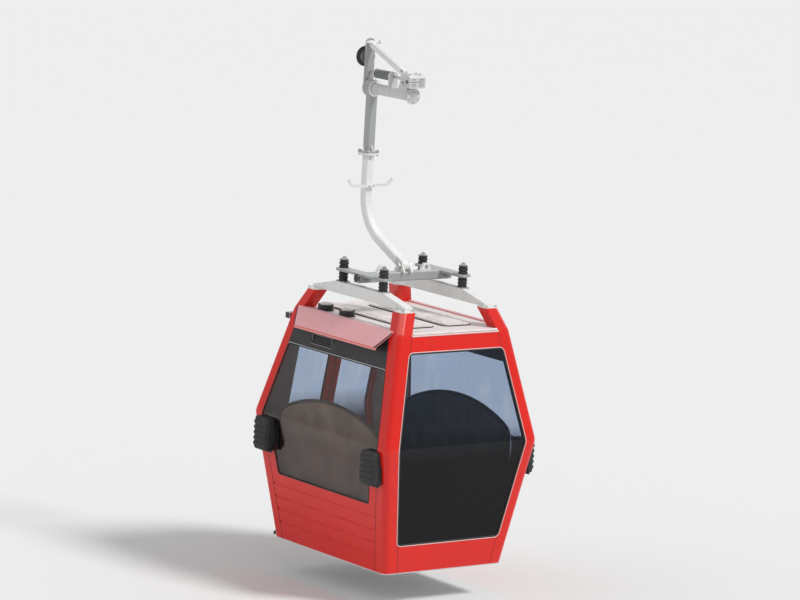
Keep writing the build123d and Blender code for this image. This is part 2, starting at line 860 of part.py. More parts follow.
with BuildPart() as pivot_shaft:
    with BuildSketch(Plane.XZ.offset(-housing_end)):
        with Locations((0, pivot_z)):
            Circle(shaft_radius)
    extrude(amount=housing_end - bracket_face)
    with BuildSketch(Plane.XZ.offset(-bracket_face)):
        with Locations((0, pivot_z)):
            RegularPolygon(shaft_nut_radius, 6)
    extrude(amount=-shaft_nut)
save(pivot_shaft.part, "pivot_shaft")

# Outer bracket with the wheel's axle
wheel_start = bracket_face + wheel_side_gap
wheel_end = wheel_start + wheel_width
with BuildPart() as wheel_bracket:
    with BuildSketch(Plane.XZ.offset(-bracket_y)):
        with Locations((0, (apex_z + pivot_z) / 2)):
            SlotCenterToCenter(apex_z - pivot_z, 2 * bracket_half_width, rotation=90)
        with Locations((0, pivot_z)):
            Circle(shaft_radius, mode=Mode.SUBTRACT)
    extrude(amount=-bracket_thickness)
    add(Pos(0, bracket_face, wheel_z) * Rot(-90, 0, 0) * ring_stack([
        (axle_boss_radius, wheel_side_gap - axle_side_gap), (axle_radius, wheel_width + 2 * axle_side_gap)]))
    with BuildSketch(Plane.XZ.offset(-(wheel_end + axle_side_gap))):
        with Locations((0, wheel_z)):
            RegularPolygon(axle_nut_radius, 6)
    extrude(amount=-axle_nut)
save(wheel_bracket.part, "wheel_bracket")

# The guide wheel: a boss with a web, and its tyre
rim_radius = wheel_radius - tyre_depth
with BuildPart() as wheel_hub:
    for radius, width in ((wheel_boss_radius, wheel_width), (rim_radius, wheel_web)):
        with BuildSketch(Plane.XZ.offset(-wheel_start)):
            with Locations((0, wheel_z)):
                Circle(radius)
        extrude(amount=-width)
    with BuildSketch(Plane.XZ.offset(-wheel_start)):
        with Locations((0, wheel_z)):
            Circle(axle_radius + axle_play)
    extrude(amount=-wheel_width, mode=Mode.SUBTRACT)
save(wheel_hub.part, "wheel_hub")

with BuildPart() as wheel_tyre:
    with BuildSketch(Plane.XZ.offset(-wheel_end)):
        with Locations((0, wheel_z)):
            Circle(wheel_radius)
            Circle(rim_radius, mode=Mode.SUBTRACT)
    extrude(amount=wheel_width)
save(wheel_tyre.part, "wheel_tyre")

# The inclined lever from the head up to the bracket, with a crosspiece at its top
lever_foot = Vector(lever_foot_y, lever_foot_z)
lever_line = Vector(bracket_y + bracket_thickness / 2, apex_z) - lever_foot
across = Vector(-lever_line.Y, lever_line.X).normalized() * (lever_depth / 2)
with BuildPart() as grip_lever:
    with BuildSketch(Plane.YZ.offset(-lever_width / 2)):
        with BuildLine():
            Polyline(lever_foot - across, lever_foot + across, (bracket_y, apex_z + lever_depth / 2),
                     (bracket_y, apex_z - lever_depth / 2), close=True)
        make_face()
    extrude(amount=lever_width)
    with BuildSketch(Plane.YZ.offset(-crosspiece_half_length)):
        with Locations((bracket_y - lever_depth / 2, apex_z + crosspiece_lift)):
            Circle(crosspiece_radius)
    extrude(amount=2 * crosspiece_half_length)
    add(grip_body.part, mode=Mode.SUBTRACT)
save(grip_lever.part, "grip_lever")
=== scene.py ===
import json
import math

import bmesh
import bpy
from mathutils import Matrix, Quaternion, Vector
from mathutils.bvhtree import BVHTree


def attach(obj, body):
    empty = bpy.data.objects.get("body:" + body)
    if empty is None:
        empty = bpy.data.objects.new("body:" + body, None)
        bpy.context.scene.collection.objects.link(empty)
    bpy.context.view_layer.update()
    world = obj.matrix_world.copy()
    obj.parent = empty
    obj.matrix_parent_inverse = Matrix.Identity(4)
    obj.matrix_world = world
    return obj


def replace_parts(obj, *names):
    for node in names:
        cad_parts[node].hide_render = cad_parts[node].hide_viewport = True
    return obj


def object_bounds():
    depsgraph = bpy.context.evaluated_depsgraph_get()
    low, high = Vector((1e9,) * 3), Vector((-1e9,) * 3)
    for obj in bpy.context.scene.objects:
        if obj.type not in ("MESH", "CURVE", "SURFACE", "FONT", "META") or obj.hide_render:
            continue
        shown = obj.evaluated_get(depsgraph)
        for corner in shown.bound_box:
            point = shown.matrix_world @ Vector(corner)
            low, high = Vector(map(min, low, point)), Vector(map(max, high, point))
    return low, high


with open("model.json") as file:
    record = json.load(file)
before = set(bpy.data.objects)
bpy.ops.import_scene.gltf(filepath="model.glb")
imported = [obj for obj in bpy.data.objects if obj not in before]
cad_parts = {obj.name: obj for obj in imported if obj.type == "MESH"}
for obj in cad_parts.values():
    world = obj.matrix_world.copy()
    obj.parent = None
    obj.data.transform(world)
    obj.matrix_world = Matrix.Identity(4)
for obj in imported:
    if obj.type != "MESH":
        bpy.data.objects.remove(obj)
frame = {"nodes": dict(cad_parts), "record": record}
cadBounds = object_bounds()
nodes = frame["nodes"]
scene = bpy.context.scene
scene.view_settings.view_transform = "Standard"
print("frame:", len(nodes), "nodes loaded")

up = (0, 0, 1)
both = (-1, 1)
fourCorners = ((-1, -1), (-1, 1), (1, -1), (1, 1))
ends = (("rear", -1), ("front", 1))

# Camera, light and floor
studio = {
    "azimuth": -37.0, "elevation": 9.0, "distance": 36.6, "lens": 188.0, "farthest": 1000.0,
    "lean": 3.4,  # how far the hanging cabin leans in the picture
    "floorDrop": 0.30,  # the floor's distance below the hanging cabin
    "floorSize": 400.0,
    "floorLook": {"Base Color": (0.84, 0.84, 0.83, 1.0), "Roughness": 0.9, "Specular IOR Level": 0.1},
    "sky": (0.97, 0.98, 1.0, 1.0), "ambient": 0.50, "backdrop": 0.86,
    "keyLight": {"azimuth": 28.0, "elevation": 48.0, "strength": 2.0, "softness": 14.0},
    "fillLight": {"azimuth": -120.0, "elevation": 35.0, "strength": 0.35, "softness": 60.0},
}


def linkThing(name, data):
    thing = bpy.data.objects.new(name, data)
    scene.collection.objects.link(thing)
    return thing


def meshFrom(name, bm):
    mesh = bpy.data.meshes.new(name)
    bm.to_mesh(mesh)
    bm.free()
    return mesh


def newMeshes(count):
    return [bmesh.new() for i in range(count)]


def setInputs(tree, inputs, values):
    for key, value in values.items():
        if isinstance(value, bpy.types.NodeSocket):
            tree.links.new(value, inputs[key])
        else:
            inputs[key].default_value = value


def addNode(tree, kind, values=None, **settings):
    node = tree.nodes.new(kind)
    for key, value in settings.items():
        setattr(node, key, value)
    setInputs(tree, node.inputs, values or {})
    return node


def newMaterial(name):
    material = bpy.data.materials.new(name)
    material.use_nodes = True
    return material, material.node_tree, material.node_tree.nodes["Principled BSDF"].inputs


def directionAt(azimuth, elevation):
    around, rise = math.radians(azimuth), math.radians(elevation)
    return Vector((math.sin(around) * math.cos(rise), -math.cos(around) * math.cos(rise), math.sin(rise)))


def makeCamera():
    data = bpy.data.cameras.new("photoCamera")
    data.lens = studio["lens"]
    data.clip_end = studio["farthest"]
    camera = linkThing("photoCamera", data)
    back = directionAt(studio["azimuth"], studio["elevation"])
    camera.location = (cadBounds[0] + cadBounds[1]) / 2 + back * studio["distance"]
    camera.rotation_mode = "QUATERNION"
    lean = Quaternion(up, math.radians(studio["lean"]))
    camera.rotation_quaternion = (-back).to_track_quat("-Z", "Y") @ lean
    scene.camera = camera


def makeSun(name, azimuth, elevation, strength, softness):
    data = bpy.data.lights.new(name, "SUN")
    data.energy = strength
    data.angle = math.radians(softness)
    sun = linkThing(name, data)
    sun.rotation_mode = "QUATERNION"
    sun.rotation_quaternion = directionAt(azimuth, elevation).to_track_quat("Z", "Y")


def makeWorld():
    world = bpy.data.worlds.new("paleRoom")
    world.use_nodes = True
    scene.world = world
    tree = world.node_tree
    seen = addNode(tree, "ShaderNodeLightPath").outputs
    through = addNode(tree, "ShaderNodeMath", {0: seen["Is Camera Ray"], 1: seen["Is Transmission Ray"]},
                      operation="MAXIMUM").outputs[0]
    strength = addNode(tree, "ShaderNodeMapRange", {"Value": through, "To Min": studio["ambient"],
                                                    "To Max": studio["backdrop"]}).outputs[0]
    setInputs(tree, tree.nodes["Background"].inputs, {"Color": studio["sky"], "Strength": strength})


def makeFloor():
    bm = bmesh.new()
    bmesh.ops.create_grid(bm, x_segments=1, y_segments=1, size=studio["floorSize"] / 2)
    bmesh.ops.translate(bm, vec=(0, 0, cadBounds[0].z - studio["floorDrop"]), verts=bm.verts)
    floor = linkThing("paleFloor", meshFrom("paleFloor", bm))
    material, tree, shader = newMaterial("paleFloor")
    setInputs(tree, shader, studio["floorLook"])
    floor.data.materials.append(material)


makeCamera()
makeWorld()
makeSun("keyLight", **studio["keyLight"])
makeSun("fillLight", **studio["fillLight"])
makeFloor()
print("studio: camera, lights and floor")

# The cabin's outlines, which trims and seals follow, in metres from the rope
hull = {
    "bottom": -4.150, "sideSill": -3.895, "endSill": -3.550, "bumper": -3.205,
    "belt": -3.035, "header": -2.385, "beam": -2.235, "top": -2.090, "horn": -1.900,
    "endReach": (0.640, 0.820, 0.608, 0.525),
    "sideReach": (0.830, 1.005, 0.798, 0.716),
    "beltEase": 0.029,  # half the height over which the belt's bend is rounded
    "postWidth": 0.140,
    "stileWidth": 0.105,
}


def reachAt(name, z):
    halves = hull[name]
    heights = (hull["bottom"], hull["belt"], hull["top"], hull["horn"])
    slopes = [(halves[i + 1] - halves[i]) / (heights[i + 1] - heights[i]) for i in range(3)]
    run = 0 if z < heights[1] else 1 if z < heights[2] else 2
    reach = halves[run] + slopes[run] * (z - heights[run])
    ease = hull["beltEase"]
    if abs(z - heights[1]) < ease:
        reach = halves[1] + slopes[0] * (z - heights[1])
        reach += (slopes[1] - slopes[0]) * (z - heights[1] + ease) ** 2 / (4 * ease)
    return reach


# Where a pane or panel of an end or a side meets the corner post
def besidePost(name, z):
    return reachAt(name, z) - hull["postWidth"]


def onEnd(sign, y, z, out=0.0):
    return Vector((sign * (reachAt("endReach", z) + out), y, z))


def onSide(sign, x, z, out=0.0):
    return Vector((x, sign * (reachAt("sideReach", z) + out), z))


def heightsBetween(low, high):
    ease = hull["beltEase"]
    kinks = [hull["belt"] + step * ease for step in (-1.0, -0.5, 0.0, 0.5, 1.0)]
    return [low] + [z for z in kinks if low < z < high] + [high]


# How far an end's skin leans from upright between two heights
def endLean(low, high):
    return math.atan2(reachAt("endReach", low) - reachAt("endReach", high), high - low)


# Shader effects that materials share. A noise is (scale, detail, roughness); a range is (from, to, start, end)
wear = {
    "patchNoise": (4.0, 0.6), "patchRange": (0.25, 0.75, 0.78, 1.0), "patchShade": (0.3, 0.8, 0.0, 0.16),
    "upward": (0.42, 0.75),  # how far up a surface faces before its paint fades and takes a painted sky sheen
    "streakStretch": (14.0, 14.0, 1.1), "streakNoise": (1.0, 5.0, 0.65), "streakRange": (0.52, 0.80),
    "dustNoise": (55.0, 3.0, 0.7), "dustRange": (0.60, 0.85, 0.0, 0.5),
    "fadeDullness": 0.12, "fineNoise": (160.0, 2.0),
    "mouldNoise": (4.0, 4.0, 0.6), "brushNoise": (8.0, 4.0, 0.7), "stainNoise": (6.0, 4.0, 0.6),
    "skinThickness": 0.022, "skinBlend": 0.003, "skinTop": hull["top"] + 0.004,
}


def newGroup(name, inputs, outputs):
    group = bpy.data.node_groups.new(name, "ShaderNodeTree")
    for label, kind, value in inputs:
        socket = group.interface.new_socket(label, in_out="INPUT", socket_type="NodeSocket" + kind)
        socket.default_value = value
    for label, kind in outputs:
        group.interface.new_socket(label, in_out="OUTPUT", socket_type="NodeSocket" + kind)
    return group, group.nodes.new("NodeGroupInput").outputs, group.nodes.new("NodeGroupOutput").inputs


def coordinates(tree):
    return tree.nodes.new("ShaderNodeTexCoord").outputs


def splitAxes(tree, vector):
    return addNode(tree, "ShaderNodeSeparateXYZ", {0: vector}).outputs


def stretch(tree, vector, scale):
    return addNode(tree, "ShaderNodeMapping", {"Vector": vector, "Scale": scale}).outputs[0]


def maths(tree, operation, first, second=0.0):
    return addNode(tree, "ShaderNodeMath", {0: first, 1: second}, operation=operation).outputs[0]


def spread(tree, value, low, high, start=0.0, end=1.0):
    return addNode(tree, "ShaderNodeMapRange", {"Value": value, "From Min": low, "From Max": high,
                                                "To Min": start, "To Max": end}).outputs[0]


def mixColours(tree, factor, first, second):
    return addNode(tree, "ShaderNodeMix", {0: factor, 6: first, 7: second}, data_type="RGBA").outputs[2]


def noiseAt(tree, vector, scale, detail, roughness=0.5):
    return addNode(tree, "ShaderNodeTexNoise", {"Vector": vector, "Scale": scale, "Detail": detail,
                                                "Roughness": roughness}).outputs["Fac"]


# The paint's wear: random tone patches, dirt streaks and dust, and towards up-facing faces a paler colour that is
# both sun fade and a painted sky sheen
def buildWeatheringAndSheen():
    group, given, result = newGroup("weatheringAndSheen", [
        ("Base", "Color", (0.5, 0.5, 0.5, 1.0)),
        ("Faded And Sheened", "Color", (0.8, 0.8, 0.8, 1.0)),
        ("Grime", "Color", (0.09, 0.08, 0.065, 1.0)),
        ("Fade", "Float", 0.5),
        ("Dirt", "Float", 0.3),
        ("Patch Size", "Float", 2.5),
    ], [("Color", "Color"), ("Dullness", "Float"), ("Height", "Float")])
    place = coordinates(group)
    patches = noiseAt(group, place["Object"], given["Patch Size"], *wear["patchNoise"])
    # the paler colour on up-facing faces is sun fade together with a painted sky sheen
    upward = spread(group, splitAxes(group, place["Normal"])["Z"], *wear["upward"])
    fadeAndSheenMask = maths(group, "MULTIPLY", maths(group, "MULTIPLY", upward, given["Fade"]),
                     spread(group, patches, *wear["patchRange"]))
    stretched = stretch(group, place["Object"], wear["streakStretch"])
    streaks = spread(group, noiseAt(group, stretched, *wear["streakNoise"]), *wear["streakRange"])
    dust = spread(group, noiseAt(group, place["Object"], *wear["dustNoise"]), *wear["dustRange"])
    dirtMask = maths(group, "MULTIPLY", maths(group, "MAXIMUM", streaks, dust), given["Dirt"])
    darker = mixColours(group, 0.5, given["Base"], (0.0, 0.0, 0.0, 1.0))
    tinted = mixColours(group, spread(group, patches, *wear["patchShade"]), given["Base"], darker)
    fadedAndSheenedColour = mixColours(group, fadeAndSheenMask, tinted, given["Faded And Sheened"])
    setInputs(group, result, {
        "Color": mixColours(group, dirtMask, fadedAndSheenedColour, given["Grime"]),
        "Dullness": maths(group, "ADD", maths(group, "MULTIPLY", fadeAndSheenMask, wear["fadeDullness"]), dirtMask),
        "Height": maths(group, "ADD", noiseAt(group, place["Object"], *wear["fineNoise"]), dirtMask),
    })
    return group


def buildGrain():
    group, given, result = newGroup("mouldGrain", [("Scale", "Float", 350.0)],
                                    [("Shade", "Float"), ("Height", "Float")])
    place = coordinates(group)["Object"]
    cells = addNode(group, "ShaderNodeTexVoronoi", {"Vector": place, "Scale": given["Scale"]})
    setInputs(group, result, {"Height": cells.outputs["Distance"],
                              "Shade": noiseAt(group, place, *wear["mouldNoise"])})
    return group


def buildBrushing():
    group, given, result = newGroup("brushing", [("Direction", "Vector", (1.0, 60.0, 60.0))],
                                    [("Lines", "Float"), ("Patches", "Float")])
    place = coordinates(group)["Object"]
    stretched = stretch(group, place, given["Direction"])
    setInputs(group, result, {"Lines": noiseAt(group, stretched, *wear["brushNoise"]),
                              "Patches": noiseAt(group, place, *wear["stainNoise"])})
    return group


# How deep a point lies behind the cabin's outer skin, measured to each of its four leaning planes
def buildSkinDepth():
    group, given, result = newGroup("skinDepth", [("Start", "Float", wear["skinThickness"])],
                                    [("Inside", "Float")])
    parts = splitAxes(group, coordinates(group)["Object"])
    nearest = None
    heights = (hull["bottom"], hull["belt"], hull["top"])
    for axis, name in (("X", "endReach"), ("Y", "sideReach")):
        outward = maths(group, "ABSOLUTE", parts[axis])
        for low in (0, 1):
            slope = (hull[name][low + 1] - hull[name][low]) / (heights[low + 1] - heights[low])
            edge = maths(group, "MULTIPLY", maths(group, "SUBTRACT", parts["Z"], heights[low]), slope)
            depth = maths(group, "SUBTRACT", maths(group, "ADD", edge, hull[name][low]), outward)
            nearest = depth if nearest is None else maths(group, "MINIMUM", nearest, depth)
    past = maths(group, "SUBTRACT", nearest, given["Start"])
    below = maths(group, "LESS_THAN", parts["Z"], wear["skinTop"])
    inside = maths(group, "MULTIPLY", spread(group, past, 0.0, wear["skinBlend"]), below)
    setInputs(group, result, {"Inside": inside})
    return group


weatheringAndSheen = buildWeatheringAndSheen()
mouldGrain = buildGrain()
brushing = buildBrushing()
skinDepth = buildSkinDepth()
print("shader groups: weathering, mould grain, brushing, skin depth")

# What all materials of a kind have in common. A bump is (strength, distance)
looks = {
    "paintSpecular": 0.38, "coatRoughness": 0.12, "wornRange": (0.0, 0.6), "wornRoughness": 0.75,
    "liningRoughness": 0.6, "paintBump": (0.18, 0.0006),
    "plasticShade": (0.35, 0.75), "plasticDull": (0.3, 0.7), "plasticGain": 0.15, "grainStrength": 0.35,
    "lighterScale": 1.9, "lighterLift": 0.012,
    "stainRange": (0.50, 0.80, 0.0, 0.45), "brushRange": (0.3, 0.7), "brushLow": -0.06, "brushHigh": 0.12,
    "metalBump": (0.15, 0.0004),
    "paintedShadeTurn": -3.03, "paintedShadeBlend": 0.14,  # the height below which the panes take a darker tint, a painted shade of the inside, and over how much
    "driedStretch": (5.0, 5.0, 0.9), "driedNoise": (1.6, 6.0, 0.62), "driedRange": (0.50, 0.72, 0.0, 0.30),
    "driedColour": (0.80, 0.84, 0.90, 1.0),
    "filmNoise": (7.0, 5.0, 0.65), "filmRange": (0.45, 0.80, 0.0, 0.06), "glassIndex": 1.33,
}


def useGroup(tree, group, values=None):
    return addNode(tree, "ShaderNodeGroup", values, node_tree=group).outputs


def bumpFrom(tree, height, strength, distance):
    values = {"Height": height, "Strength": strength, "Distance": distance}
    return addNode(tree, "ShaderNodeBump", values).outputs[0]


def paintMaterial(name, base, fadedAndSheenedColour, fadeAndSheenShare, dirt, roughness, coat, lining=None):
    material, tree, shader = newMaterial(name)
    wornAndSheened = useGroup(tree, weatheringAndSheen, {"Base": (*base, 1), "Faded And Sheened": (*fadedAndSheenedColour, 1), "Fade": fadeAndSheenShare, "Dirt": dirt})
    colour = wornAndSheened["Color"]
    dullness = spread(tree, wornAndSheened["Dullness"], *looks["wornRange"], roughness, looks["wornRoughness"])
    if lining:
        inside = useGroup(tree, skinDepth)["Inside"]
        colour = mixColours(tree, inside, colour, (*lining, 1))
        dullness = maths(tree, "MAXIMUM", dullness, maths(tree, "MULTIPLY", inside, looks["liningRoughness"]))
    setInputs(tree, shader, {
        "Base Color": colour, "Roughness": dullness, "Specular IOR Level": looks["paintSpecular"],
        "Coat Weight": coat, "Coat Roughness": looks["coatRoughness"],
        "Normal": bumpFrom(tree, wornAndSheened["Height"], *looks["paintBump"]),
    })
    return material


def plasticMaterial(name, base, roughness, grainScale, grainHeight):
    material, tree, shader = newMaterial(name)
    grain = useGroup(tree, mouldGrain, {"Scale": grainScale})
    lighter = tuple(min(1.0, part * looks["lighterScale"] + looks["lighterLift"]) for part in base)
    shade = spread(tree, grain["Shade"], *looks["plasticShade"])
    dullest = roughness + looks["plasticGain"]
    setInputs(tree, shader, {
        "Base Color": mixColours(tree, shade, (*base, 1), (*lighter, 1)),
        "Roughness": spread(tree, grain["Shade"], *looks["plasticDull"], roughness, dullest),
        "Normal": bumpFrom(tree, grain["Height"], looks["grainStrength"], grainHeight),
    })
    return material


def metalMaterial(name, base, roughness, direction, tarnish):
    material, tree, shader = newMaterial(name)
    lines = useGroup(tree, brushing, {"Direction": direction})
    stained = spread(tree, lines["Patches"], *looks["stainRange"])
    smooth, rough = roughness + looks["brushLow"], roughness + looks["brushHigh"]
    setInputs(tree, shader, {
        "Base Color": mixColours(tree, stained, (*base, 1), (*tarnish, 1)),
        "Roughness": spread(tree, lines["Lines"], *looks["brushRange"], smooth, rough),
        "Metallic": 1.0, "Normal": bumpFrom(tree, lines["Lines"], *looks["metalBump"]),
    })
    return material


# Glass tinted by height: below the belt a darker tint paints the shade of the inside; above it the tint is
# lighter, with dried water spots, and a thin film all over
def glassMaterial(name, upper, lower):
    material, tree, shader = newMaterial(name)
    place = coordinates(tree)["Object"]
    turn, blend = looks["paintedShadeTurn"], looks["paintedShadeBlend"]
    reflectionShadeBand = spread(tree, splitAxes(tree, place)["Z"], turn - blend, turn + blend)
    stretched = stretch(tree, place, looks["driedStretch"])
    dried = spread(tree, noiseAt(tree, stretched, *looks["driedNoise"]), *looks["driedRange"])
    reflectionShadeTint = mixColours(tree, reflectionShadeBand, (*lower, 1), (*upper, 1))
    setInputs(tree, shader, {
        "Base Color": mixColours(tree, maths(tree, "MULTIPLY", dried, reflectionShadeBand), reflectionShadeTint, looks["driedColour"]),
        "Roughness": spread(tree, noiseAt(tree, place, *looks["filmNoise"]), *looks["filmRange"]),
        "Transmission Weight": 1.0, "IOR": looks["glassIndex"],
    })
    return material


# Paint: base, faded colour (sun fade and a painted sky sheen on up-facing faces), fading, dirt, roughness, coat.
# Plastic: base, roughness, grain's scale and height.
# Metal: base, roughness, brushing, tarnish. Glass: upper and lower tint, the lower one a painted shade of the
# inside
liningGrey = (0.20, 0.19, 0.185)
finishes = {
    # the red's pale pink second colour is sun fade and a painted sky sheen on its up-facing faces
    "red_paint": paintMaterial("redPaint", (0.74, 0.013, 0.006), (0.86, 0.36, 0.33), 0.9, 0.10, 0.28, 0.12,
                               liningGrey),
    "black_panel": plasticMaterial("blackPanel", (0.012, 0.011, 0.013), 0.32, 350.0, 0.0003),
    # the tinted glass's blue upper tint is a painted sky reflection, its near-black lower tint a painted shade of
    # the inside
    "tinted_glass": glassMaterial("tintedGlass", (0.38, 0.52, 0.75), (0.020, 0.014, 0.030)),
    "white_paint": paintMaterial("whitePaint", (0.80, 0.80, 0.78), (0.88, 0.88, 0.87), 0.8, 0.22, 0.4, 0.2),
    "grey_paint": paintMaterial("greyPaint", (0.36, 0.37, 0.37), (0.60, 0.61, 0.61), 0.6, 0.25, 0.42, 0.1),
    "roof_white": paintMaterial("roofWhite", (0.80, 0.74, 0.72), (0.88, 0.83, 0.81), 0.7, 0.25, 0.45, 0.1),
    "black_rubber": plasticMaterial("blackRubber", (0.016, 0.016, 0.017), 0.62, 260.0, 0.0005),
    "wheel_tyre": plasticMaterial("wheelRubber", (0.020, 0.020, 0.021), 0.70, 200.0, 0.0006),
    "steel": metalMaterial("brightSteel", (0.62, 0.62, 0.61), 0.30, (60.0, 4.0, 60.0), (0.16, 0.13, 0.10)),
    "cast_grip": paintMaterial("castGrip", (0.60, 0.60, 0.59), (0.80, 0.80, 0.79), 0.7, 0.35, 0.5, 0.0),
    "aluminium": metalMaterial("aluminium", (0.70, 0.70, 0.71), 0.36, (2.0, 60.0, 60.0), (0.30, 0.29, 0.28)),
    "bench_shell": plasticMaterial("benchShell", (0.115, 0.094, 0.080), 0.50, 350.0, 0.00012),
    "bench_cover": plasticMaterial("benchCover", (0.030, 0.029, 0.033), 0.55, 240.0, 0.0008),
}
# The end panes: pale above, with a darker brownish lower tint that paints the shade of the inside and the bench
# backs behind them
endGlass = glassMaterial("endGlass", (0.89, 0.82, 0.77), (0.64, 0.53, 0.51))
# The apron's paint is pinker than the red all over, paler still on top: sun fade together with a painted sky sheen
apronSheenPaint = paintMaterial("apronSheenPaint", (0.84, 0.30, 0.28), (0.88, 0.57, 0.63), 0.85, 0.12, 0.4, 0.2)


def setMaterial(node, material):
    nodes[node].data.materials.clear()
    nodes[node].data.materials.append(material)


for part in frame["record"]["subparts"]:
    setMaterial(part["node"], finishes[part["material_slot"]])
for end in ("rear", "front"):
    setMaterial("end_window_" + end, endGlass)
    setMaterial("apron_" + end, apronSheenPaint)
print("finishes:", len(finishes) + 2, "materials on the packed nodes")

# Small makers that the pieces below share
sharpAngle = math.radians(38.0)  # edges that bend more than this stay sharp
rimAngle = 1.2  # edges that bend more than this, in radians, are rims to be rounded
easeShare = 0.45  # how much of an edge an eased corner may take at most


def placePiece(name, data, body):
    piece = linkThing(name, data)
    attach(piece, body)
    return piece


def finishPiece(name, bm, slot, body="cabin", material=None):
    mesh = meshFrom(name, bm)
    mesh.shade_smooth()
    mesh.set_sharp_from_angle(angle=sharpAngle)
    mesh.materials.append(material or finishes[slot])
    return placePiece(name, mesh, body)


def addTubes(name, paths, radius, slot="black_rubber", body="cabin", closed=False, material=None, smoothness=3):
    curve = bpy.data.curves.new(name, "CURVE")
    curve.dimensions = "3D"
    curve.bevel_depth = radius
    curve.bevel_resolution = smoothness
    curve.use_fill_caps = not closed
    for path in paths:
        spline = curve.splines.new("POLY")
        spline.points.add(len(path) - 1)
        for point, place in zip(spline.points, path):
            point.co = (*place, 1.0)
        spline.use_cyclic_u = closed
    curve.materials.append(material or finishes[slot])
    return placePiece(name, curve, body)


def bevelEdges(bm, edges, width, segments):
    bmesh.ops.bevel(bm, geom=edges, offset=width, offset_type="OFFSET", segments=segments, profile=0.5,
                    affect="EDGES", material=-1, clamp_overlap=True)


def edgesOf(verts):
    return list({edge for vert in verts for edge in vert.link_edges})


def addBlock(bm, low, high, rounding=0.0, segments=2, turn=None):
    made = bmesh.ops.create_cube(bm, size=1.0)["verts"]
    low, high = Vector(low), Vector(high)
    bmesh.ops.scale(bm, vec=[abs(part) for part in high - low], verts=made)
    if turn:
        bmesh.ops.rotate(bm, cent=(0, 0, 0), matrix=turn, verts=made)
    bmesh.ops.translate(bm, vec=(low + high) / 2, verts=made)
    if rounding:
        bevelEdges(bm, edgesOf(made), rounding, segments)


def addBox(bm, middle, half, rounding=0.0, segments=2, turn=None):
    middle, half = Vector(middle), Vector(half)
    addBlock(bm, middle - half, middle + half, rounding, segments, turn)


def aimAt(place, direction):
    return Matrix.Translation(place) @ Vector(direction).to_track_quat("Z", "Y").to_matrix().to_4x4()


def addDrum(bm, place, direction, radius, height, sides=32, topRadius=None, rounding=0.0):
    top = radius if topRadius is None else topRadius
    made = bmesh.ops.create_cone(bm, cap_ends=True, segments=sides, radius1=radius, radius2=top,
                                 depth=height)["verts"]
    bmesh.ops.translate(bm, vec=(0, 0, height / 2), verts=made)
    bmesh.ops.transform(bm, matrix=aimAt(place, direction), verts=made)
    if rounding:
        rim = [edge for edge in edgesOf(made)
               if len(edge.link_faces) == 2 and edge.calc_face_angle(0.0) > rimAngle]
        bevelEdges(bm, rim, rounding, 2)


# A turned shape from (radius, height) steps, standing at a place and pointing along a direction
def addTurned(bm, steps, place, direction, sides=48):
    before = set(bm.verts)
    outline = [bm.verts.new((radius, 0.0, height)) for radius, height in steps]
    runs = [bm.edges.new(pair) for pair in zip(outline, outline[1:])]
    bmesh.ops.spin(bm, geom=outline + runs, cent=(0, 0, 0), axis=up, dvec=(0, 0, 0),
                   angle=2 * math.pi, steps=sides, use_merge=True)
    bmesh.ops.remove_doubles(bm, verts=[vert for vert in bm.verts if vert not in before], dist=0.00001)
    made = [vert for vert in bm.verts if vert not in before]
    bmesh.ops.transform(bm, matrix=aimAt(place, direction), verts=made)
    bmesh.ops.recalc_face_normals(bm, faces=list({face for vert in made for face in vert.link_faces}))


# A flat ring between two radii, from one height to another
def addRing(bm, inner, outer, low, high, place, direction, sides):
    steps = [(inner, low), (inner, high), (outer, high), (outer, low), (inner, low)]
    addTurned(bm, steps, place, direction, sides)


def addBolt(bm, place, direction, radius, height, washer=1.5):
    aim = Vector(direction).normalized()
    addDrum(bm, place, aim, radius * washer, height * 0.25, sides=20)
    addDrum(bm, Vector(place) + aim * height * 0.25, aim, radius, height, sides=6, rounding=radius * 0.12)


def addBolts(bm, spots, direction, size):
    for spot in spots:
        addBolt(bm, spot, direction, *size)


# A point on the curve that eases a corner, with t running from 0 to 1
def easedPoint(start, corner, stop, t):
    return start * (1 - t) ** 2 + corner * 2 * t * (1 - t) + stop * t ** 2


# The corners of a closed path, each eased into a small curve
def easeCorners(path, radius, steps=5, least=0.5):
    eased = []
    count = len(path)
    for i, corner in enumerate(path):
        before, after = path[i - 1] - corner, path[(i + 1) % count] - corner
        if before.angle(after, math.pi) > math.pi - least:
            eased.append(corner)
            continue
        reach = min(radius, before.length * easeShare, after.length * easeShare)
        start, stop = corner + before.normalized() * reach, corner + after.normalized() * reach
        eased += [easedPoint(start, corner, stop, step / steps) for step in range(steps + 1)]
    return eased


def rectangleAt(x, y, z, halfX, halfY):
    return [Vector((x + u * halfX, y + v * halfY, z)) for u, v in ((1, 1), (-1, 1), (-1, -1), (1, -1))]


# A closed path on the skin from its right half
def mirroredRing(right, surface, sign, out):
    return [surface(sign, across, z, out) for across, z in right] + \
           [surface(sign, -across, z, out) for across, z in reversed(right)]


# Points round a place, level or else facing along the cabin's width
def circleAt(place, count, radius, start=0.0, level=False):
    turns = [math.radians(start + i * 360 / count) for i in range(count)]
    spots = [(radius * math.cos(turn), radius * math.sin(turn)) for turn in turns]
    return [Vector(place) + Vector((u, v, 0) if level else (u, 0, v)) for u, v in spots]


def spacedAbout(middle, count, pitch):
    return [middle + (i - (count - 1) / 2) * pitch for i in range(count)]


def evenly(low, high, count):
    return [low + (high - low) * i / count for i in range(count + 1)]


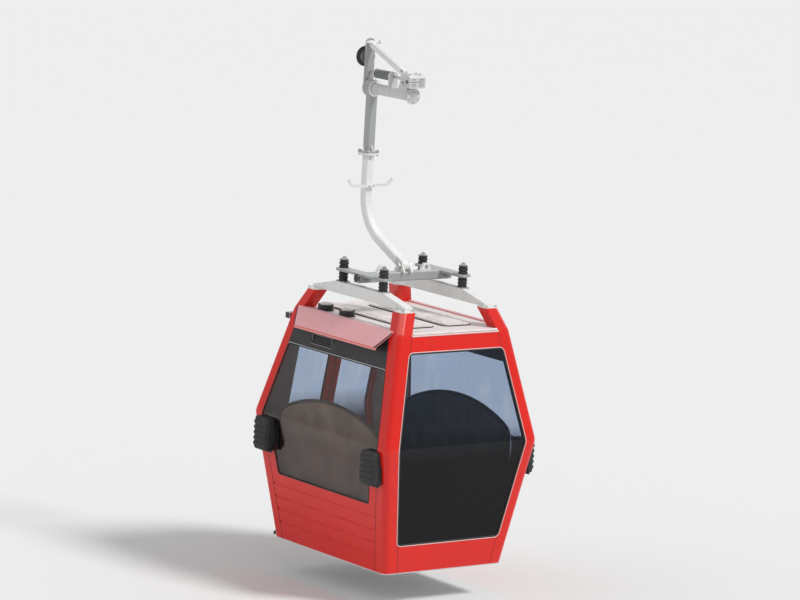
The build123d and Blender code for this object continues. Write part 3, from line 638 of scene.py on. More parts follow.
# Rubber seals that hold the panes, and the lines where the cabin's panels meet
seals = {
    "radius": 0.0075, "corner": 0.035, "out": -0.0045, "seamRadius": 0.0022, "seamOut": -0.0004,
    "endSeams": ((hull["bottom"], hull["endSill"]), (hull["header"], hull["top"]),
                 (hull["endSill"], hull["bumper"])),
    "sideSeams": {
        -1: ((hull["bottom"], hull["sideSill"]), (hull["beam"], hull["top"])),
        1: ((hull["bottom"], hull["top"]),),
    },
}


def makeSeals():
    lower = [(besidePost("sideReach", z) - hull["stileWidth"], z) for z in (hull["endSill"], hull["bumper"])]
    upper = [(besidePost("sideReach", z), z) for z in heightsBetween(hull["bumper"], hull["header"])]
    for end, sign in ends:
        ring = mirroredRing(lower + upper, onEnd, sign, seals["out"])
        addTubes("endPaneSeal" + end.title(), [easeCorners(ring, seals["corner"])], seals["radius"], closed=True)
    right = [(besidePost("endReach", z), z) for z in heightsBetween(hull["sideSill"], hull["beam"])]
    ring = mirroredRing(right, onSide, -1, seals["out"])
    addTubes("sidePaneSeal", [easeCorners(ring, seals["corner"])], seals["radius"], closed=True)
    seams = []
    for sign, side in fourCorners:
        for low, high in seals["endSeams"]:
            seams.append([onEnd(sign, side * besidePost("sideReach", z), z, seals["seamOut"])
                          for z in heightsBetween(low, high)])
        for low, high in seals["sideSeams"][side]:
            seams.append([onSide(side, sign * besidePost("endReach", z), z, seals["seamOut"])
                          for z in heightsBetween(low, high)])
    addTubes("panelSeams", seams, seals["seamRadius"], smoothness=1)


makeSeals()
print("seals: panes and panel seams")

# Roof: black seals round the raised pads, standing also for the painted shade in the gaps round them, ribs of the
# pads, vent caps and skirts, drip edges and the arch caps' bolts.
# Here and below, a bolt is (radius, height, washer) and a rounded edge is (rounding, segments)
roof = {
    "top": -2.065, "padX": 0.200, "padHalfX": 0.150, "padHalfY": 0.575, "padCorner": 0.075, "padHeight": 0.022,
    "sealRadius": 0.0055, "sealGap": 0.002, "sealRise": 0.003,
    "ribsY": (-0.36, 0.0, 0.36), "ribHalf": (0.105, 0.125, 0.005), "ribRise": 0.001, "ribEdge": (0.006, 3),
    "ventX": -0.475, "ventY": (0.150, 0.470), "ventHeight": 0.052,
    "ventCap": [(0.0, 0.020), (0.018, 0.0195), (0.036, 0.016), (0.047, 0.009), (0.050, 0.0), (0.046, -0.001)],
    "ventSkirt": [(0.066, -0.048), (0.073, -0.048), (0.080, -0.052), (0.080, -0.0535), (0.066, -0.0535)],
    "ventCircle": (4, 0.061, 45.0), "ventSink": 0.001, "ventBolt": (0.0035, 0.003),
    "dripRadius": 0.011, "dripDrop": 0.006, "dripOut": 0.001, "dripGap": 0.004,
    "capX": 0.452, "capY": 0.643, "capTop": -1.888, "capReach": 0.050, "capBolt": (0.0085, 0.007),
}


def makeRoof():
    top, gap = roof["top"], roof["sealGap"]
    outlines = [rectangleAt(sign * roof["padX"], 0.0, top + roof["sealRise"], roof["padHalfX"] + gap,
                            roof["padHalfY"] + gap) for sign in both]
    rings = [easeCorners(outline, roof["padCorner"], 8) for outline in outlines]
    # black beads round the pads: seals that also paint the shade in the gaps round them
    addTubes("roofPadSealsAndShade", rings, roof["sealRadius"], closed=True)
    ribs, caps, skirts, bolts = newMeshes(4)
    for sign in both:
        for y in roof["ribsY"]:
            addBox(ribs, (sign * roof["padX"], y, top + roof["padHeight"] + roof["ribRise"]), roof["ribHalf"],
                   *roof["ribEdge"])
    finishPiece("roofPadRibs", ribs, "roof_white")
    for y in roof["ventY"]:
        base = Vector((roof["ventX"], y, top + roof["ventHeight"]))
        addTurned(caps, roof["ventCap"], base, up)
        addTurned(skirts, roof["ventSkirt"], base, up)
        spots = circleAt(base - Vector((0, 0, roof["ventSink"])), *roof["ventCircle"], level=True)
        addBolts(skirts, spots, up, roof["ventBolt"])
    finishPiece("ventCaps", caps, "roof_white")
    finishPiece("ventSkirts", skirts, "black_panel")
    half = besidePost("endReach", top) - roof["dripGap"]
    drips = [[onSide(side, x, top - roof["dripDrop"], roof["dripOut"]) for x in (-half, half)] for side in both]
    addTubes("roofDripEdges", drips, roof["dripRadius"], "roof_white")
    for cap in rectangleAt(0, 0, roof["capTop"], roof["capX"], roof["capY"]):
        addBolts(bolts, rectangleAt(*cap, roof["capReach"], roof["capReach"]), up, roof["capBolt"])
    finishPiece("archCapBolts", bolts, "steel")


makeRoof()
print("roof: pad seals, ribs, vent caps, drip edges, cap bolts")

# End trims: bright strip over each end pane, louvre frame and slats, apron folds, dark lines of painted shade
# under the apron's cut corners, and rivets
endTrim = {
    "stripRise": 0.004, "stripGap": 0.004, "stripHalf": (0.002, 0.005), "stripOut": -0.0005,
    "stripEdge": (0.0008, 1),
    "louvreY": 0.240, "louvreHalf": 0.140, "louvreTop": -2.266, "louvrePitch": 0.019, "louvreSlots": 4,
    "frameRise": 0.004, "frameSide": 0.008, "frameOverhang": 0.015, "frameHalf": (0.0025, 0.0045, 0.005),
    "frameTall": 0.007, "frameOut": 0.0005, "frameEdge": (0.001, 1), "slatHalf": (0.0012, 0.006),
    "slatOut": -0.010, "slatTurn": math.radians(40),
    "apronLip": 0.716, "apronLipZ": -2.202, "apronCorner": 0.105, "apronHalf": 0.700, "apronRoot": 0.600,
    "apronThickness": 0.012, "foldDrop": 0.003, "foldTop": 0.010, "foldRadius": 0.0035, "cornerRadius": 0.0060,
    "rivetX": 0.580, "rivets": (0.0, 7, 0.200), "rivet": [(0.0, 0.003), (0.0035, 0.0025), (0.006, 0.0)],
}
louvrePaint = paintMaterial("louvrePaint", (0.17, 0.14, 0.16), (0.30, 0.26, 0.28), 0.6, 0.25, 0.4, 0.1)
# dark purple for the lines under the apron's cut corners: painted shade of the corners' undersides
apronCornerShade = plasticMaterial("apronCornerShade", (0.045, 0.012, 0.030), 0.50, 260.0, 0.0003)


def makeLouvre(bm, sign, turn):
    y, wide, pitch = endTrim["louvreY"], endTrim["louvreHalf"], endTrim["louvrePitch"]
    middle = endTrim["louvreTop"] - pitch * (endTrim["louvreSlots"] - 1) / 2
    tall = pitch * endTrim["louvreSlots"] / 2
    thick, barHigh, barWide = endTrim["frameHalf"]
    for way in both:
        level = (0.0, way * (tall + endTrim["frameRise"]), wide + endTrim["frameOverhang"], barHigh)
        upright = (way * (wide + endTrim["frameSide"]), 0.0, barWide, tall + endTrim["frameTall"])
        for dy, dz, across, rise in (level, upright):
            addBox(bm, onEnd(sign, y + dy, middle + dz, endTrim["frameOut"]), (thick, across, rise),
                   *endTrim["frameEdge"], turn)
    thick, rise = endTrim["slatHalf"]
    hood = Matrix.Rotation(sign * endTrim["slatTurn"], 3, "Y")
    for i in range(endTrim["louvreSlots"]):
        spot = onEnd(sign, y, endTrim["louvreTop"] - i * pitch, endTrim["slatOut"])
        addBox(bm, spot, (thick, wide, rise), turn=hood)


def makeEndTrims():
    strips, frames, rivets, folds, corners = bmesh.new(), bmesh.new(), bmesh.new(), [], []
    z = hull["header"] + endTrim["stripRise"]
    thick, rise = endTrim["stripHalf"]
    stripHalf = (thick, besidePost("sideReach", z) - endTrim["stripGap"], rise)
    lip, low, half = endTrim["apronLip"], endTrim["apronLipZ"], endTrim["apronHalf"]
    along, top = endTrim["apronCorner"], roof["top"] + endTrim["apronThickness"]
    slope = (top - low) / (lip - endTrim["apronRoot"])
    for sign in both:
        turn = Matrix.Rotation(sign * endLean(-2.3, -2.2), 3, "Y")
        addBox(strips, onEnd(sign, 0.0, z, endTrim["stripOut"]), stripHalf, *endTrim["stripEdge"], turn)
        makeLouvre(frames, sign, turn)
        ledge = []
        for side in both:
            inner = Vector((sign * (endTrim["apronRoot"] + endTrim["apronThickness"]), side * half,
                            roof["top"] + endTrim["foldTop"]))
            first = Vector((sign * (lip - along), side * half, low + along * slope - endTrim["foldDrop"]))
            second = Vector((sign * lip, side * (half - along), low - endTrim["foldDrop"]))
            folds.append([inner, first])
            corners.append([first, second])
            ledge.append(second)
        folds.append(ledge)
        for y in spacedAbout(*endTrim["rivets"]):
            addTurned(rivets, endTrim["rivet"], (sign * endTrim["rivetX"], y, top), up, 14)
    finishPiece("paneTopStrips", strips, "aluminium")
    finishPiece("louvreFrames", frames, "grey_paint", material=louvrePaint)
    finishPiece("apronRivets", rivets, "steel")
    addTubes("apronEdges", folds, endTrim["foldRadius"], "red_paint", smoothness=2)
    # the apron's cut corners get dark lines of painted shade
    addTubes("apronCornerShadeLines", corners, endTrim["cornerRadius"], material=apronCornerShade)


makeEndTrims()
print("ends: pane strips, louvres, apron edges and rivets")

# Hanger arm: flange bolts, gussets and weld beads, hub ring, grease nipple, step treads and bolts
hanger = {
    "y": 0.615, "halfArm": 0.040, "flangeZ": -0.700, "flangeThickness": 0.016, "flangeReach": 0.057,
    "flangeBolt": (0.0105, 0.009, 1.4), "gussetReach": 0.028, "gussetRise": 0.055,
    "beadGap": 0.001, "beadCorner": 0.012, "beadRadius": 0.0035,
    "pivotZ": -0.128, "hubNear": 0.570, "hubCircle": (8, 0.062, 22.5), "hubFace": 0.0028,
    "hubRing": [(0.0505, 0.0), (0.0505, 0.0028), (0.070, 0.0028), (0.0735, 0.0012), (0.0735, 0.0), (0.0505, 0.0)],
    "hubDot": [(0.0, 0.0008), (0.0035, 0.0006), (0.0042, 0.0)],
    "nippleX": 0.028, "nippleRise": 0.0690, "nippleAim": (0.37, 0, 0.93),
    "nipple": [(0.0, 0.012), (0.0022, 0.0115), (0.0028, 0.0095), (0.0018, 0.0078), (0.0030, 0.0062),
               (0.0045, 0.0060), (0.0045, 0.0)],
    "stepZ": -0.990, "stepNear": 0.541, "treads": 9, "treadStart": 0.062, "treadPitch": 0.0145,
    "treadHalf": (0.0045, 0.01725, 0.00425), "treadY": 0.55675, "treadRise": 0.00825, "treadEdge": (0.0015, 2),
    "clampX": 0.022, "clampBolt": (0.006, 0.005),
}


def addGusset(bm, root, outward, reach, rise, thickness=0.008, slope=0.85):
    made = bmesh.ops.create_cube(bm, size=1.0)["verts"]
    bmesh.ops.scale(bm, vec=(reach, thickness, abs(rise)), verts=made)
    bmesh.ops.translate(bm, vec=(reach / 2, 0, rise / 2), verts=made)
    far = [vert for vert in made if vert.co.x > reach / 2 and abs(vert.co.z) > abs(rise) / 2]
    bmesh.ops.translate(bm, vec=(0, 0, -rise * slope), verts=far)
    turn = Matrix.Rotation(math.atan2(outward[1], outward[0]), 3, "Z")
    bmesh.ops.rotate(bm, cent=(0, 0, 0), matrix=turn, verts=made)
    bmesh.ops.translate(bm, vec=root, verts=made)


def makeHanger():
    y, halfArm, flange = hanger["y"], hanger["halfArm"], hanger["flangeReach"]
    bolts, gussets, beads = bmesh.new(), bmesh.new(), []
    for rise in (1, -1):
        face = hanger["flangeZ"] + rise * hanger["flangeThickness"]
        addBolts(bolts, rectangleAt(0, y, face, flange, flange), (0, 0, rise), hanger["flangeBolt"])
        for outward in ((1, 0), (-1, 0), (0, 1), (0, -1)):
            root = Vector((outward[0] * halfArm, y + outward[1] * halfArm, face))
            addGusset(gussets, root, outward, hanger["gussetReach"], rise * hanger["gussetRise"])
        half = halfArm + hanger["beadGap"]
        beads.append(easeCorners(rectangleAt(0, y, face, half, half), hanger["beadCorner"]))
    finishPiece("flangeBolts", bolts, "steel")
    finishPiece("flangeGussets", gussets, "white_paint")
    addTubes("flangeWelds", beads, hanger["beadRadius"], "white_paint", closed=True, smoothness=2)
    hub, nipple, treads, clamps = newMeshes(4)
    addTurned(hub, hanger["hubRing"], (0, hanger["hubNear"], hanger["pivotZ"]), (0, -1, 0))
    for spot in circleAt((0, hanger["hubNear"] - hanger["hubFace"], hanger["pivotZ"]), *hanger["hubCircle"]):
        addTurned(hub, hanger["hubDot"], spot, (0, -1, 0), 10)
    finishPiece("hubRing", hub, "white_paint")
    addTurned(nipple, hanger["nipple"], (hanger["nippleX"], y, hanger["pivotZ"] + hanger["nippleRise"]),
              hanger["nippleAim"], 16)
    finishPiece("hubNipple", nipple, "steel")
    for side in both:
        for i in range(hanger["treads"]):
            x = side * (hanger["treadStart"] + i * hanger["treadPitch"])
            addBox(treads, (x, hanger["treadY"], hanger["stepZ"] + hanger["treadRise"]), hanger["treadHalf"],
                   *hanger["treadEdge"])
        addBolt(clamps, (side * hanger["clampX"], hanger["stepNear"], hanger["stepZ"]), (0, -1, 0),
                *hanger["clampBolt"])
    finishPiece("stepTreads", treads, "white_paint")
    finishPiece("stepBolts", clamps, "steel")


makeHanger()
print("hanger: bolts, gussets, welds, hub ring, step treads")

# Foot: ribbed dampers between steel washers, plates under them, end caps, pin washers and lug bushes
foot = {
    "x": 0.430, "y": 0.295, "archTop": -1.785, "plateBottom": -1.685, "plateTop": -1.665, "damperTop": -1.585,
    "rubberRadius": 0.042, "ribDepth": 0.006, "rubberEdge": 0.003,
    "baseHalf": (0.041, 0.058, 0.003), "baseHeight": 0.006, "baseEdge": (0.003, 2),
    "baseBoltX": 0.031, "baseBoltY": 0.050, "baseBolt": (0.0055, 0.005),
    "washer": 0.004, "washerRadius": 0.044, "topWasherRadius": 0.036, "washerEdge": 0.0008,
    "nutRadius": 0.0235, "nutHeight": 0.016, "studRadius": 0.0125, "studHeight": 0.010,
    "beamEnd": 0.500, "beamZ": -1.705, "beamHalfWidth": 0.045, "gussetReach": 0.110, "gussetRise": -0.045,
    "capHalf": (0.0015, 0.041, 0.036), "capBoltY": 0.030, "capBoltZ": 0.026, "capBolt": (0.005, 0.004),
    "pinZ": -1.615, "pinNut": 0.047, "pinRing": (0.0185, 0.033, 0.0, 0.003),
    "lugX": 0.240, "lugZ": -1.634, "lugHalf": 0.015, "lugRing": (0.0126, 0.0165, -0.001, 0.0025),
    "cotterX": 0.056, "cotterHalf": 0.033, "cotterRadius": 0.0022,
}


def rubberSteps(height, ribs):
    edge, full = foot["rubberEdge"], foot["rubberRadius"]
    waist, shoulder = full - foot["ribDepth"], full - 0.001
    pitch = (height - 2 * edge) / ribs
    steps = [(0.0, 0.0), (full - edge, 0.0), (full, edge)]
    for i in range(ribs):
        start = edge + i * pitch
        steps += [(radius, start + pitch * part) for radius, part in (
            (full, 0.30), (shoulder, 0.40), (waist, 0.50), (waist, 0.75), (shoulder, 0.90), (full, 1.0))]
    return steps[:-1] + [(full, height - edge), (full - edge, height), (0.0, height)]


def makeFoot():
    rubbers, washers, plates, gussets = newMeshes(4)
    baseTop, washer = foot["archTop"] + foot["baseHeight"], foot["washer"]
    for x in (-foot["x"], foot["x"]):
        for y in (-foot["y"], foot["y"]):
            addBox(plates, (x, y, foot["archTop"] + foot["baseHeight"] / 2), foot["baseHalf"], *foot["baseEdge"])
            spots = rectangleAt(x, y, baseTop, foot["baseBoltX"], foot["baseBoltY"])
            addBolts(washers, spots, up, foot["baseBolt"])
            for base, top, ribs in ((baseTop, foot["plateBottom"] - washer, 3),
                                    (foot["plateTop"] + washer, foot["damperTop"] - washer, 2)):
                addTurned(rubbers, rubberSteps(top - base, ribs), (x, y, base), up)
            for base, radius in ((foot["plateBottom"] - washer, foot["washerRadius"]),
                                 (foot["plateTop"], foot["washerRadius"]),
                                 (foot["damperTop"] - washer, foot["topWasherRadius"])):
                addDrum(washers, (x, y, base), up, radius, washer, 40, rounding=foot["washerEdge"])
            addDrum(washers, (x, y, foot["damperTop"]), up, foot["nutRadius"], foot["nutHeight"], 6,
                    rounding=0.0020)
            addDrum(washers, (x, y, foot["damperTop"] + foot["nutHeight"] - 0.001), up, foot["studRadius"],
                    foot["studHeight"], 24, rounding=0.0015)
        for y in both:
            addGusset(gussets, Vector((x, y * foot["beamHalfWidth"], foot["plateBottom"])), (0, y),
                      foot["gussetReach"], foot["gussetRise"])
    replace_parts(finishPiece("damperRubbers", rubbers, "black_rubber"), "dampers")
    finishPiece("damperWashers", washers, "steel")
    finishPiece("damperPlates", plates, "grey_paint")
    finishPiece("plateGussets", gussets, "grey_paint")
    caps, rings, cotters = bmesh.new(), bmesh.new(), []
    thick = foot["capHalf"][0]
    for sign in both:
        addBox(caps, (sign * (foot["beamEnd"] + thick), 0, foot["beamZ"]), foot["capHalf"], 0.001, 1)
        for y, z in fourCorners:
            addBolt(rings, (sign * (foot["beamEnd"] + 2 * thick), y * foot["capBoltY"],
                            foot["beamZ"] + z * foot["capBoltZ"]), (sign, 0, 0), *foot["capBolt"])
        addRing(rings, *foot["pinRing"], (sign * foot["pinNut"], 0, foot["pinZ"]), (sign, 0, 0), 40)
        for y in both:
            lug = (sign * foot["lugX"], y * foot["lugHalf"], foot["lugZ"])
            addRing(rings, *foot["lugRing"], lug, (0, y, 0), 28)
        cotters.append([Vector((sign * foot["cotterX"], 0.0, foot["pinZ"] + z * foot["cotterHalf"]))
                        for z in both])
    finishPiece("beamEndCaps", caps, "black_panel")
    finishPiece("footRings", rings, "steel")
    addTubes("pinCotters", cotters, foot["cotterRadius"], "steel", smoothness=2)


makeFoot()
print("foot: ribbed dampers, washers, plates, gussets, caps")

# Grip: coil spring on its rod, caps, bolts, lever ribs and jaw pads
grip = {
    "springZ": 0.008, "rodRadius": 0.012, "rodStart": 0.210, "plateFace": 0.325, "stackEnd": 0.561,
    "endPlate": 0.013, "endRadius": 0.043, "coilRadius": 0.0330, "wireRadius": 0.0085, "wireRoom": 0.0068,
    "turns": 7, "turnSteps": 20,
    "nuts": ((0.0, 0.026), (0.019, 0.022)), "nutHeight": 0.016, "edge": 0.002,
    "bracketNear": 0.665, "bracketFace": 0.691, "pivotZ": -0.128,
    "cap": [(0.0, 0.006), (0.020, 0.0055), (0.034, 0.004), (0.038, 0.0)],
    "capCircle": (6, 0.055, 30.0), "capBolt": (0.0065, 0.005), "flange": (0.050, 0.003),
    "headY": 0.032, "headTop": 0.060, "headHalf": (0.055, 0.028), "headBolt": (0.0095, 0.008),
    "earFace": 0.056, "jawPinY": 0.100, "jawPinZ": -0.026, "jawBolt": (0.0140, 0.010, 1.3),
    "leverFoot": (0, 0.140, 0.052), "leverHalf": 0.023, "leverBolt": (0.0110, 0.008, 1.4),
    "leverBoltY": 0.170, "leverBoltZ": 0.074, "apexZ": 0.262,
    "crossHalf": 0.072, "crossY": 0.639, "crossZ": 0.275,
    "crossCap": [(0.0122, -0.010), (0.0150, -0.010), (0.0150, 0.001), (0.0130, 0.0025), (0.0, 0.0025)],
    # ribs of the lever: where along it, how far off it, and half the sizes, with the length as a share
    "topRib": (0.52, 0.026, (0.0045, 0.36, 0.0035)), "sideRib": (0.54, (0.0022, 0.30, 0.0045)),
    "padLow": (0.020, -0.0485), "padHigh": (0.066, -0.0455), "padRuns": ((-0.040, -0.012), (0.008, 0.032)),
}
springPaint = paintMaterial("springPaint", (0.24, 0.25, 0.26), (0.40, 0.41, 0.42), 0.5, 0.3, 0.45, 0.1)


def makeSpring():
    rod = bmesh.new()
    z, along, thick, edge = grip["springZ"], (0, 1, 0), grip["endPlate"], grip["edge"]
    start, stop = grip["plateFace"] + thick, grip["stackEnd"] - thick
    addDrum(rod, (0, grip["rodStart"], z), along, grip["rodRadius"], grip["bracketNear"] - grip["rodStart"])
    for near in (grip["plateFace"], stop):
        addDrum(rod, (0, near, z), along, grip["endRadius"], thick, 48, rounding=edge)
    for past, radius in grip["nuts"]:
        addDrum(rod, (0, grip["stackEnd"] + past, z), along, radius, grip["nutHeight"], 6, rounding=edge)
    spring = finishPiece("springRod", rod, "steel", "grip")
    room = grip["wireRoom"]
    count = grip["turns"] * grip["turnSteps"]
    helix = []
    for i, y in enumerate(evenly(start + room, stop - room, count)):
        around = 2 * math.pi * grip["turns"] * i / count
        helix.append(Vector((grip["coilRadius"] * math.cos(around), y, z + grip["coilRadius"] * math.sin(around))))
    addTubes("gripSpringCoil", [helix], grip["wireRadius"], "steel", "grip", material=springPaint)
    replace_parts(spring, "grip_spring")


def makeGrip():
    steel, cast, jaws = newMeshes(3)
    addTurned(steel, grip["cap"], (0, 0, grip["pivotZ"]), (0, -1, 0))
    addBolts(steel, circleAt((0, 0, grip["pivotZ"]), *grip["capCircle"]), (0, -1, 0), grip["capBolt"])
    addBolts(steel, rectangleAt(0, grip["headY"], grip["headTop"], *grip["headHalf"]), up, grip["headBolt"])
    for x in both:
        outward = (x, 0, 0)
        addBolt(steel, (x * grip["earFace"], grip["jawPinY"], grip["jawPinZ"]), outward, *grip["jawBolt"])
        addBolt(steel, (x * grip["leverHalf"], grip["leverBoltY"], grip["leverBoltZ"]), outward,
                *grip["leverBolt"])
        addTurned(steel, grip["crossCap"], (x * grip["crossHalf"], grip["crossY"], grip["crossZ"]), outward, 28)
    addDrum(steel, (0, grip["bracketFace"], grip["pivotZ"]), (0, 1, 0), *grip["flange"], 48)
    finishPiece("gripFasteners", steel, "steel", "grip")
    base = Vector(grip["leverFoot"])
    lever = Vector((0, grip["bracketNear"], grip["apexZ"])) - base
    along = lever.normalized()
    lift = Vector((0, -along.z, along.y))
    tilt = Matrix.Rotation(math.atan2(along.z, along.y), 3, "X")
    part, off, (thick, share, high) = grip["topRib"]
    addBox(cast, base + lever * part + lift * off, (thick, lever.length * share, high), 0.0015, 2, tilt)
    part, (thick, share, high) = grip["sideRib"]
    for x in both:
        side = base + Vector((x * grip["leverHalf"], 0, 0)) + lever * part
        addBox(cast, side, (thick, lever.length * share, high), 0.001, 2, tilt)
    finishPiece("leverRibs", cast, "white_paint", "grip")
    (nearX, nearY), (farX, farY) = grip["padLow"], grip["padHigh"]
    for x in both:
        for low, high in grip["padRuns"]:
            addBlock(jaws, (x * nearX, nearY, low), (x * farX, farY, high), 0.0012)
    finishPiece("jawPads", jaws, "steel", "grip")


# Guide wheel: grooved tyre, bead ring, bolts and axle washer
wheel = {
    "y": 0.715, "z": 0.140, "web": 0.028, "width": 0.046, "circle": (6, 0.050), "bolt": (0.0050, 0.004),
    "tyre": [(0.072, 0.0), (0.083, 0.0), (0.088, 0.003), (0.090, 0.009), (0.090, 0.0185), (0.086, 0.0200),
             (0.086, 0.0260), (0.090, 0.0275), (0.090, 0.037), (0.088, 0.043), (0.083, 0.046), (0.072, 0.046),
             (0.072, 0.0)],
    "beadRing": [(0.064, 0.0), (0.064, 0.004), (0.067, 0.0055), (0.072, 0.0055), (0.072, 0.0)],
    "washer": (0.0165, 0.030, 0.0, 0.0018),
}


def makeWheel():
    tyre, detail = newMeshes(2)
    hub, along = Vector((0, wheel["y"], wheel["z"])), Vector((0, 1, 0))
    web = hub + along * wheel["web"]
    addTurned(tyre, wheel["tyre"], hub, along, 72)
    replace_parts(finishPiece("guideTyre", tyre, "wheel_tyre", "guide_wheel"), "wheel_tyre")
    addTurned(detail, wheel["beadRing"], web, along, 64)
    addBolts(detail, circleAt(web, *wheel["circle"]), along, wheel["bolt"])
    addRing(detail, *wheel["washer"], hub + along * wheel["width"], along, 40)
    finishPiece("wheelDetail", detail, "aluminium", "guide_wheel")


makeSpring()
makeGrip()
makeWheel()
print("grip: coil spring, fasteners, lever ribs, guide wheel")

# Bumpers: rounded rubber blocks with shallow ribs at the belt of each end, on black plates
bumper = {
    "y": 0.800, "z": -3.205, "halfY": 0.105, "halfZ": 0.150, "root": 0.760, "face": 0.874, "edge": (0.030, 6),
    "ribRoot": 0.780, "ribFace": 0.880, "ribs": 5, "ribPitch": 0.048, "ribHalfY": 0.095, "ribShare": 0.32,
    "ribEdge": (0.007, 3), "plateHalf": (0.0035, 0.114, 0.159), "plateOut": 0.001, "plateEdge": (0.0015, 2),
}


def makeBumpers():
    middle, halfZ = bumper["z"], bumper["halfZ"]
    rise = bumper["ribPitch"] * bumper["ribShare"]
    for end, sign in ends:
        blocks, plates = newMeshes(2)
        turn = Matrix.Rotation(sign * endLean(middle - halfZ, middle), 3, "Y")
        for side in both:
            runs = [(bumper["root"], bumper["face"], bumper["halfY"], middle, halfZ, bumper["edge"])]
            runs += [(bumper["ribRoot"], bumper["ribFace"], bumper["ribHalfY"], z, rise, bumper["ribEdge"])
                     for z in spacedAbout(middle, bumper["ribs"], bumper["ribPitch"])]
            for near, far, halfY, z, half, edge in runs:
                addBox(blocks, (sign * (near + far) / 2, side * bumper["y"], z), ((far - near) / 2, halfY, half),
                       *edge)
            addBox(plates, onEnd(sign, side * bumper["y"], middle, bumper["plateOut"]), bumper["plateHalf"],
                   *bumper["plateEdge"], turn)
        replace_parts(finishPiece("bumperBlocks" + end.title(), blocks, "black_rubber"), "bumpers_" + end)
        finishPiece("bumperPlates" + end.title(), plates, "black_panel")


makeBumpers()
print("bumpers: four ribbed blocks")

# Doors: pane seals, meeting rubbers, brushes, rivets, rail and guide caps, screws and the doorway's seal
doors = {
    "near": 0.066, "far": 0.438, "low": -4.022, "high": -2.267, "corner": 0.030, "sealRadius": 0.0055,
    "sealOuts": (0.0390, 0.0230), "lipX": 0.0045, "lipOuts": (0.020, 0.027, 0.035, 0.042), "lipRadius": 0.0030,
    "bottom": -4.112, "top": -2.205, "lipGap": 0.004,
    "brushX": (0.012, 0.490), "brushOut": (0.018, 0.026), "brushZ": (-4.118, -4.108),
    "rivetX": (0.032, 0.471), "rivetZ": (-4.067, -3.60, -3.15, -2.75, -2.237), "rivetOut": 0.0498,
    "rivet": [(0.0, 0.0022), (0.0040, 0.0018), (0.0055, 0.0), (0.0045, -0.001)],
    "half": 0.470, "frameLow": -4.095, "frameHigh": -2.235, "frameOut": 0.0035, "frameCorner": 0.020,
    "frameSeal": 0.0048, "capX": 0.6065, "capHalf": 0.002,
    "railY": 0.8592, "railZ": -2.167, "railHalf": 0.025, "guideY": 0.872, "guideZ": -4.137, "guideHalf": 0.014,
    "screws": (0.0, 9, 0.142), "screwOut": 0.026, "screwRise": 0.004, "screw": (0.0055, 0.0040),
}


def leafRun(x, low, high, out):
    return [onSide(1, x, z, out) for z in heightsBetween(low, high)]


def doorRing(near, far, low, high, out, corner):
    return easeCorners(leafRun(near, low, high, out) + leafRun(far, low, high, out)[::-1], corner)


def makeDoors():
    low, high, bottom, gap = doors["low"], doors["high"], doors["bottom"], doors["lipGap"]
    for end, sign in reversed(ends):
        name, body = end.title(), "door_" + end
        rings = [doorRing(sign * doors["near"], sign * doors["far"], low, high, out, doors["corner"])
                 for out in doors["sealOuts"]]
        addTubes("doorPaneSeals" + name, rings, doors["sealRadius"], body=body, closed=True)
        lips = [leafRun(sign * doors["lipX"], bottom + gap, doors["top"] - gap, out) for out in doors["lipOuts"]]
        addTubes("doorMeetingRubber" + name, lips, doors["lipRadius"], body=body, smoothness=2)
        brush, rivets = newMeshes(2)
        spots = zip(doors["brushX"], doors["brushOut"], doors["brushZ"])
        corners = [(sign * x, reachAt("sideReach", bottom) + out, z) for x, out, z in spots]
        addBlock(brush, *corners, 0.001, 1)
        finishPiece("doorBrush" + name, brush, "black_rubber", body)
        for x in doors["rivetX"]:
            for z in doors["rivetZ"]:
                addTurned(rivets, doors["rivet"], onSide(1, sign * x, z, doors["rivetOut"]), (0, 1, 0), 14)
        finishPiece("doorRivets" + name, rivets, "red_paint", body)
    ring = doorRing(doors["half"], -doors["half"], doors["frameLow"], doors["frameHigh"], doors["frameOut"],
                    doors["frameCorner"])
    addTubes("doorwaySeal", [ring], doors["frameSeal"], closed=True)
    caps, screws = newMeshes(2)
    for sign in both:
        for run in ("rail", "guide"):
            half = doors[run + "Half"]
            addBox(caps, (sign * doors["capX"], doors[run + "Y"], doors[run + "Z"]),
                   (doors["capHalf"], half, half), 0.001, 1)
    finishPiece("railEndCaps", caps, "black_panel")
    y, z = doors["railY"] + doors["screwOut"], doors["railZ"] + doors["screwRise"]
    addBolts(screws, [(x, y, z) for x in spacedAbout(*doors["screws"])], (0, 1, 0), doors["screw"])
    finishPiece("railScrews", screws, "steel")


makeDoors()
print("doors: seals, meeting rubbers, brushes, rivets, rail caps")

# Cabin lining: studded floor mat, ceiling board with lamp and grilles, bench rims, nosings and bolts
lining = {
    "matHalf": (0.295, 0.750, 0.002), "matZ": -4.103, "matTop": -4.101,
    "studsX": (0.0, 17, 0.034), "studsY": (0.0, 44, 0.034),
    "stud": (0.009, 0.0018, 10, 0.0063),  # radius, height, sides and the top's radius
    "boardHalf": (0.556, 0.746, 0.004), "boardZ": -2.094, "boardEdge": (0.003, 2),
    "lampHalf": (0.055, 0.26, 0.010), "lampZ": -2.106, "lampEdge": (0.008, 4),
    "grilleY": 0.47, "grilleSlats": (7, 0.018), "grilleHalf": (0.080, 0.005, 0.0035), "grilleZ": -2.1005,
    "grilleEdge": (0.0015, 1),
    "rimRadius": 0.0165, "rimX": 0.659,
    "rimEdge": (0.762, -2.803, 0.190, -3.600),  # half the width, top, rise of the arch and low end
    "seatZ": -3.640, "rise": 0.840, "lean": 0.040,
    "nosing": (0.270, 0.762, -3.649), "nosingRadius": 0.0115,  # place along the rope, half length, height
    "boltX": 0.300, "boltsY": (-0.60, -0.20, 0.20, 0.60), "boltZ": -4.060, "bolt": (0.0060, 0.0040, 1.8),
}
matRubber = plasticMaterial("matRubber", (0.045, 0.045, 0.047), 0.70, 180.0, 0.0004)
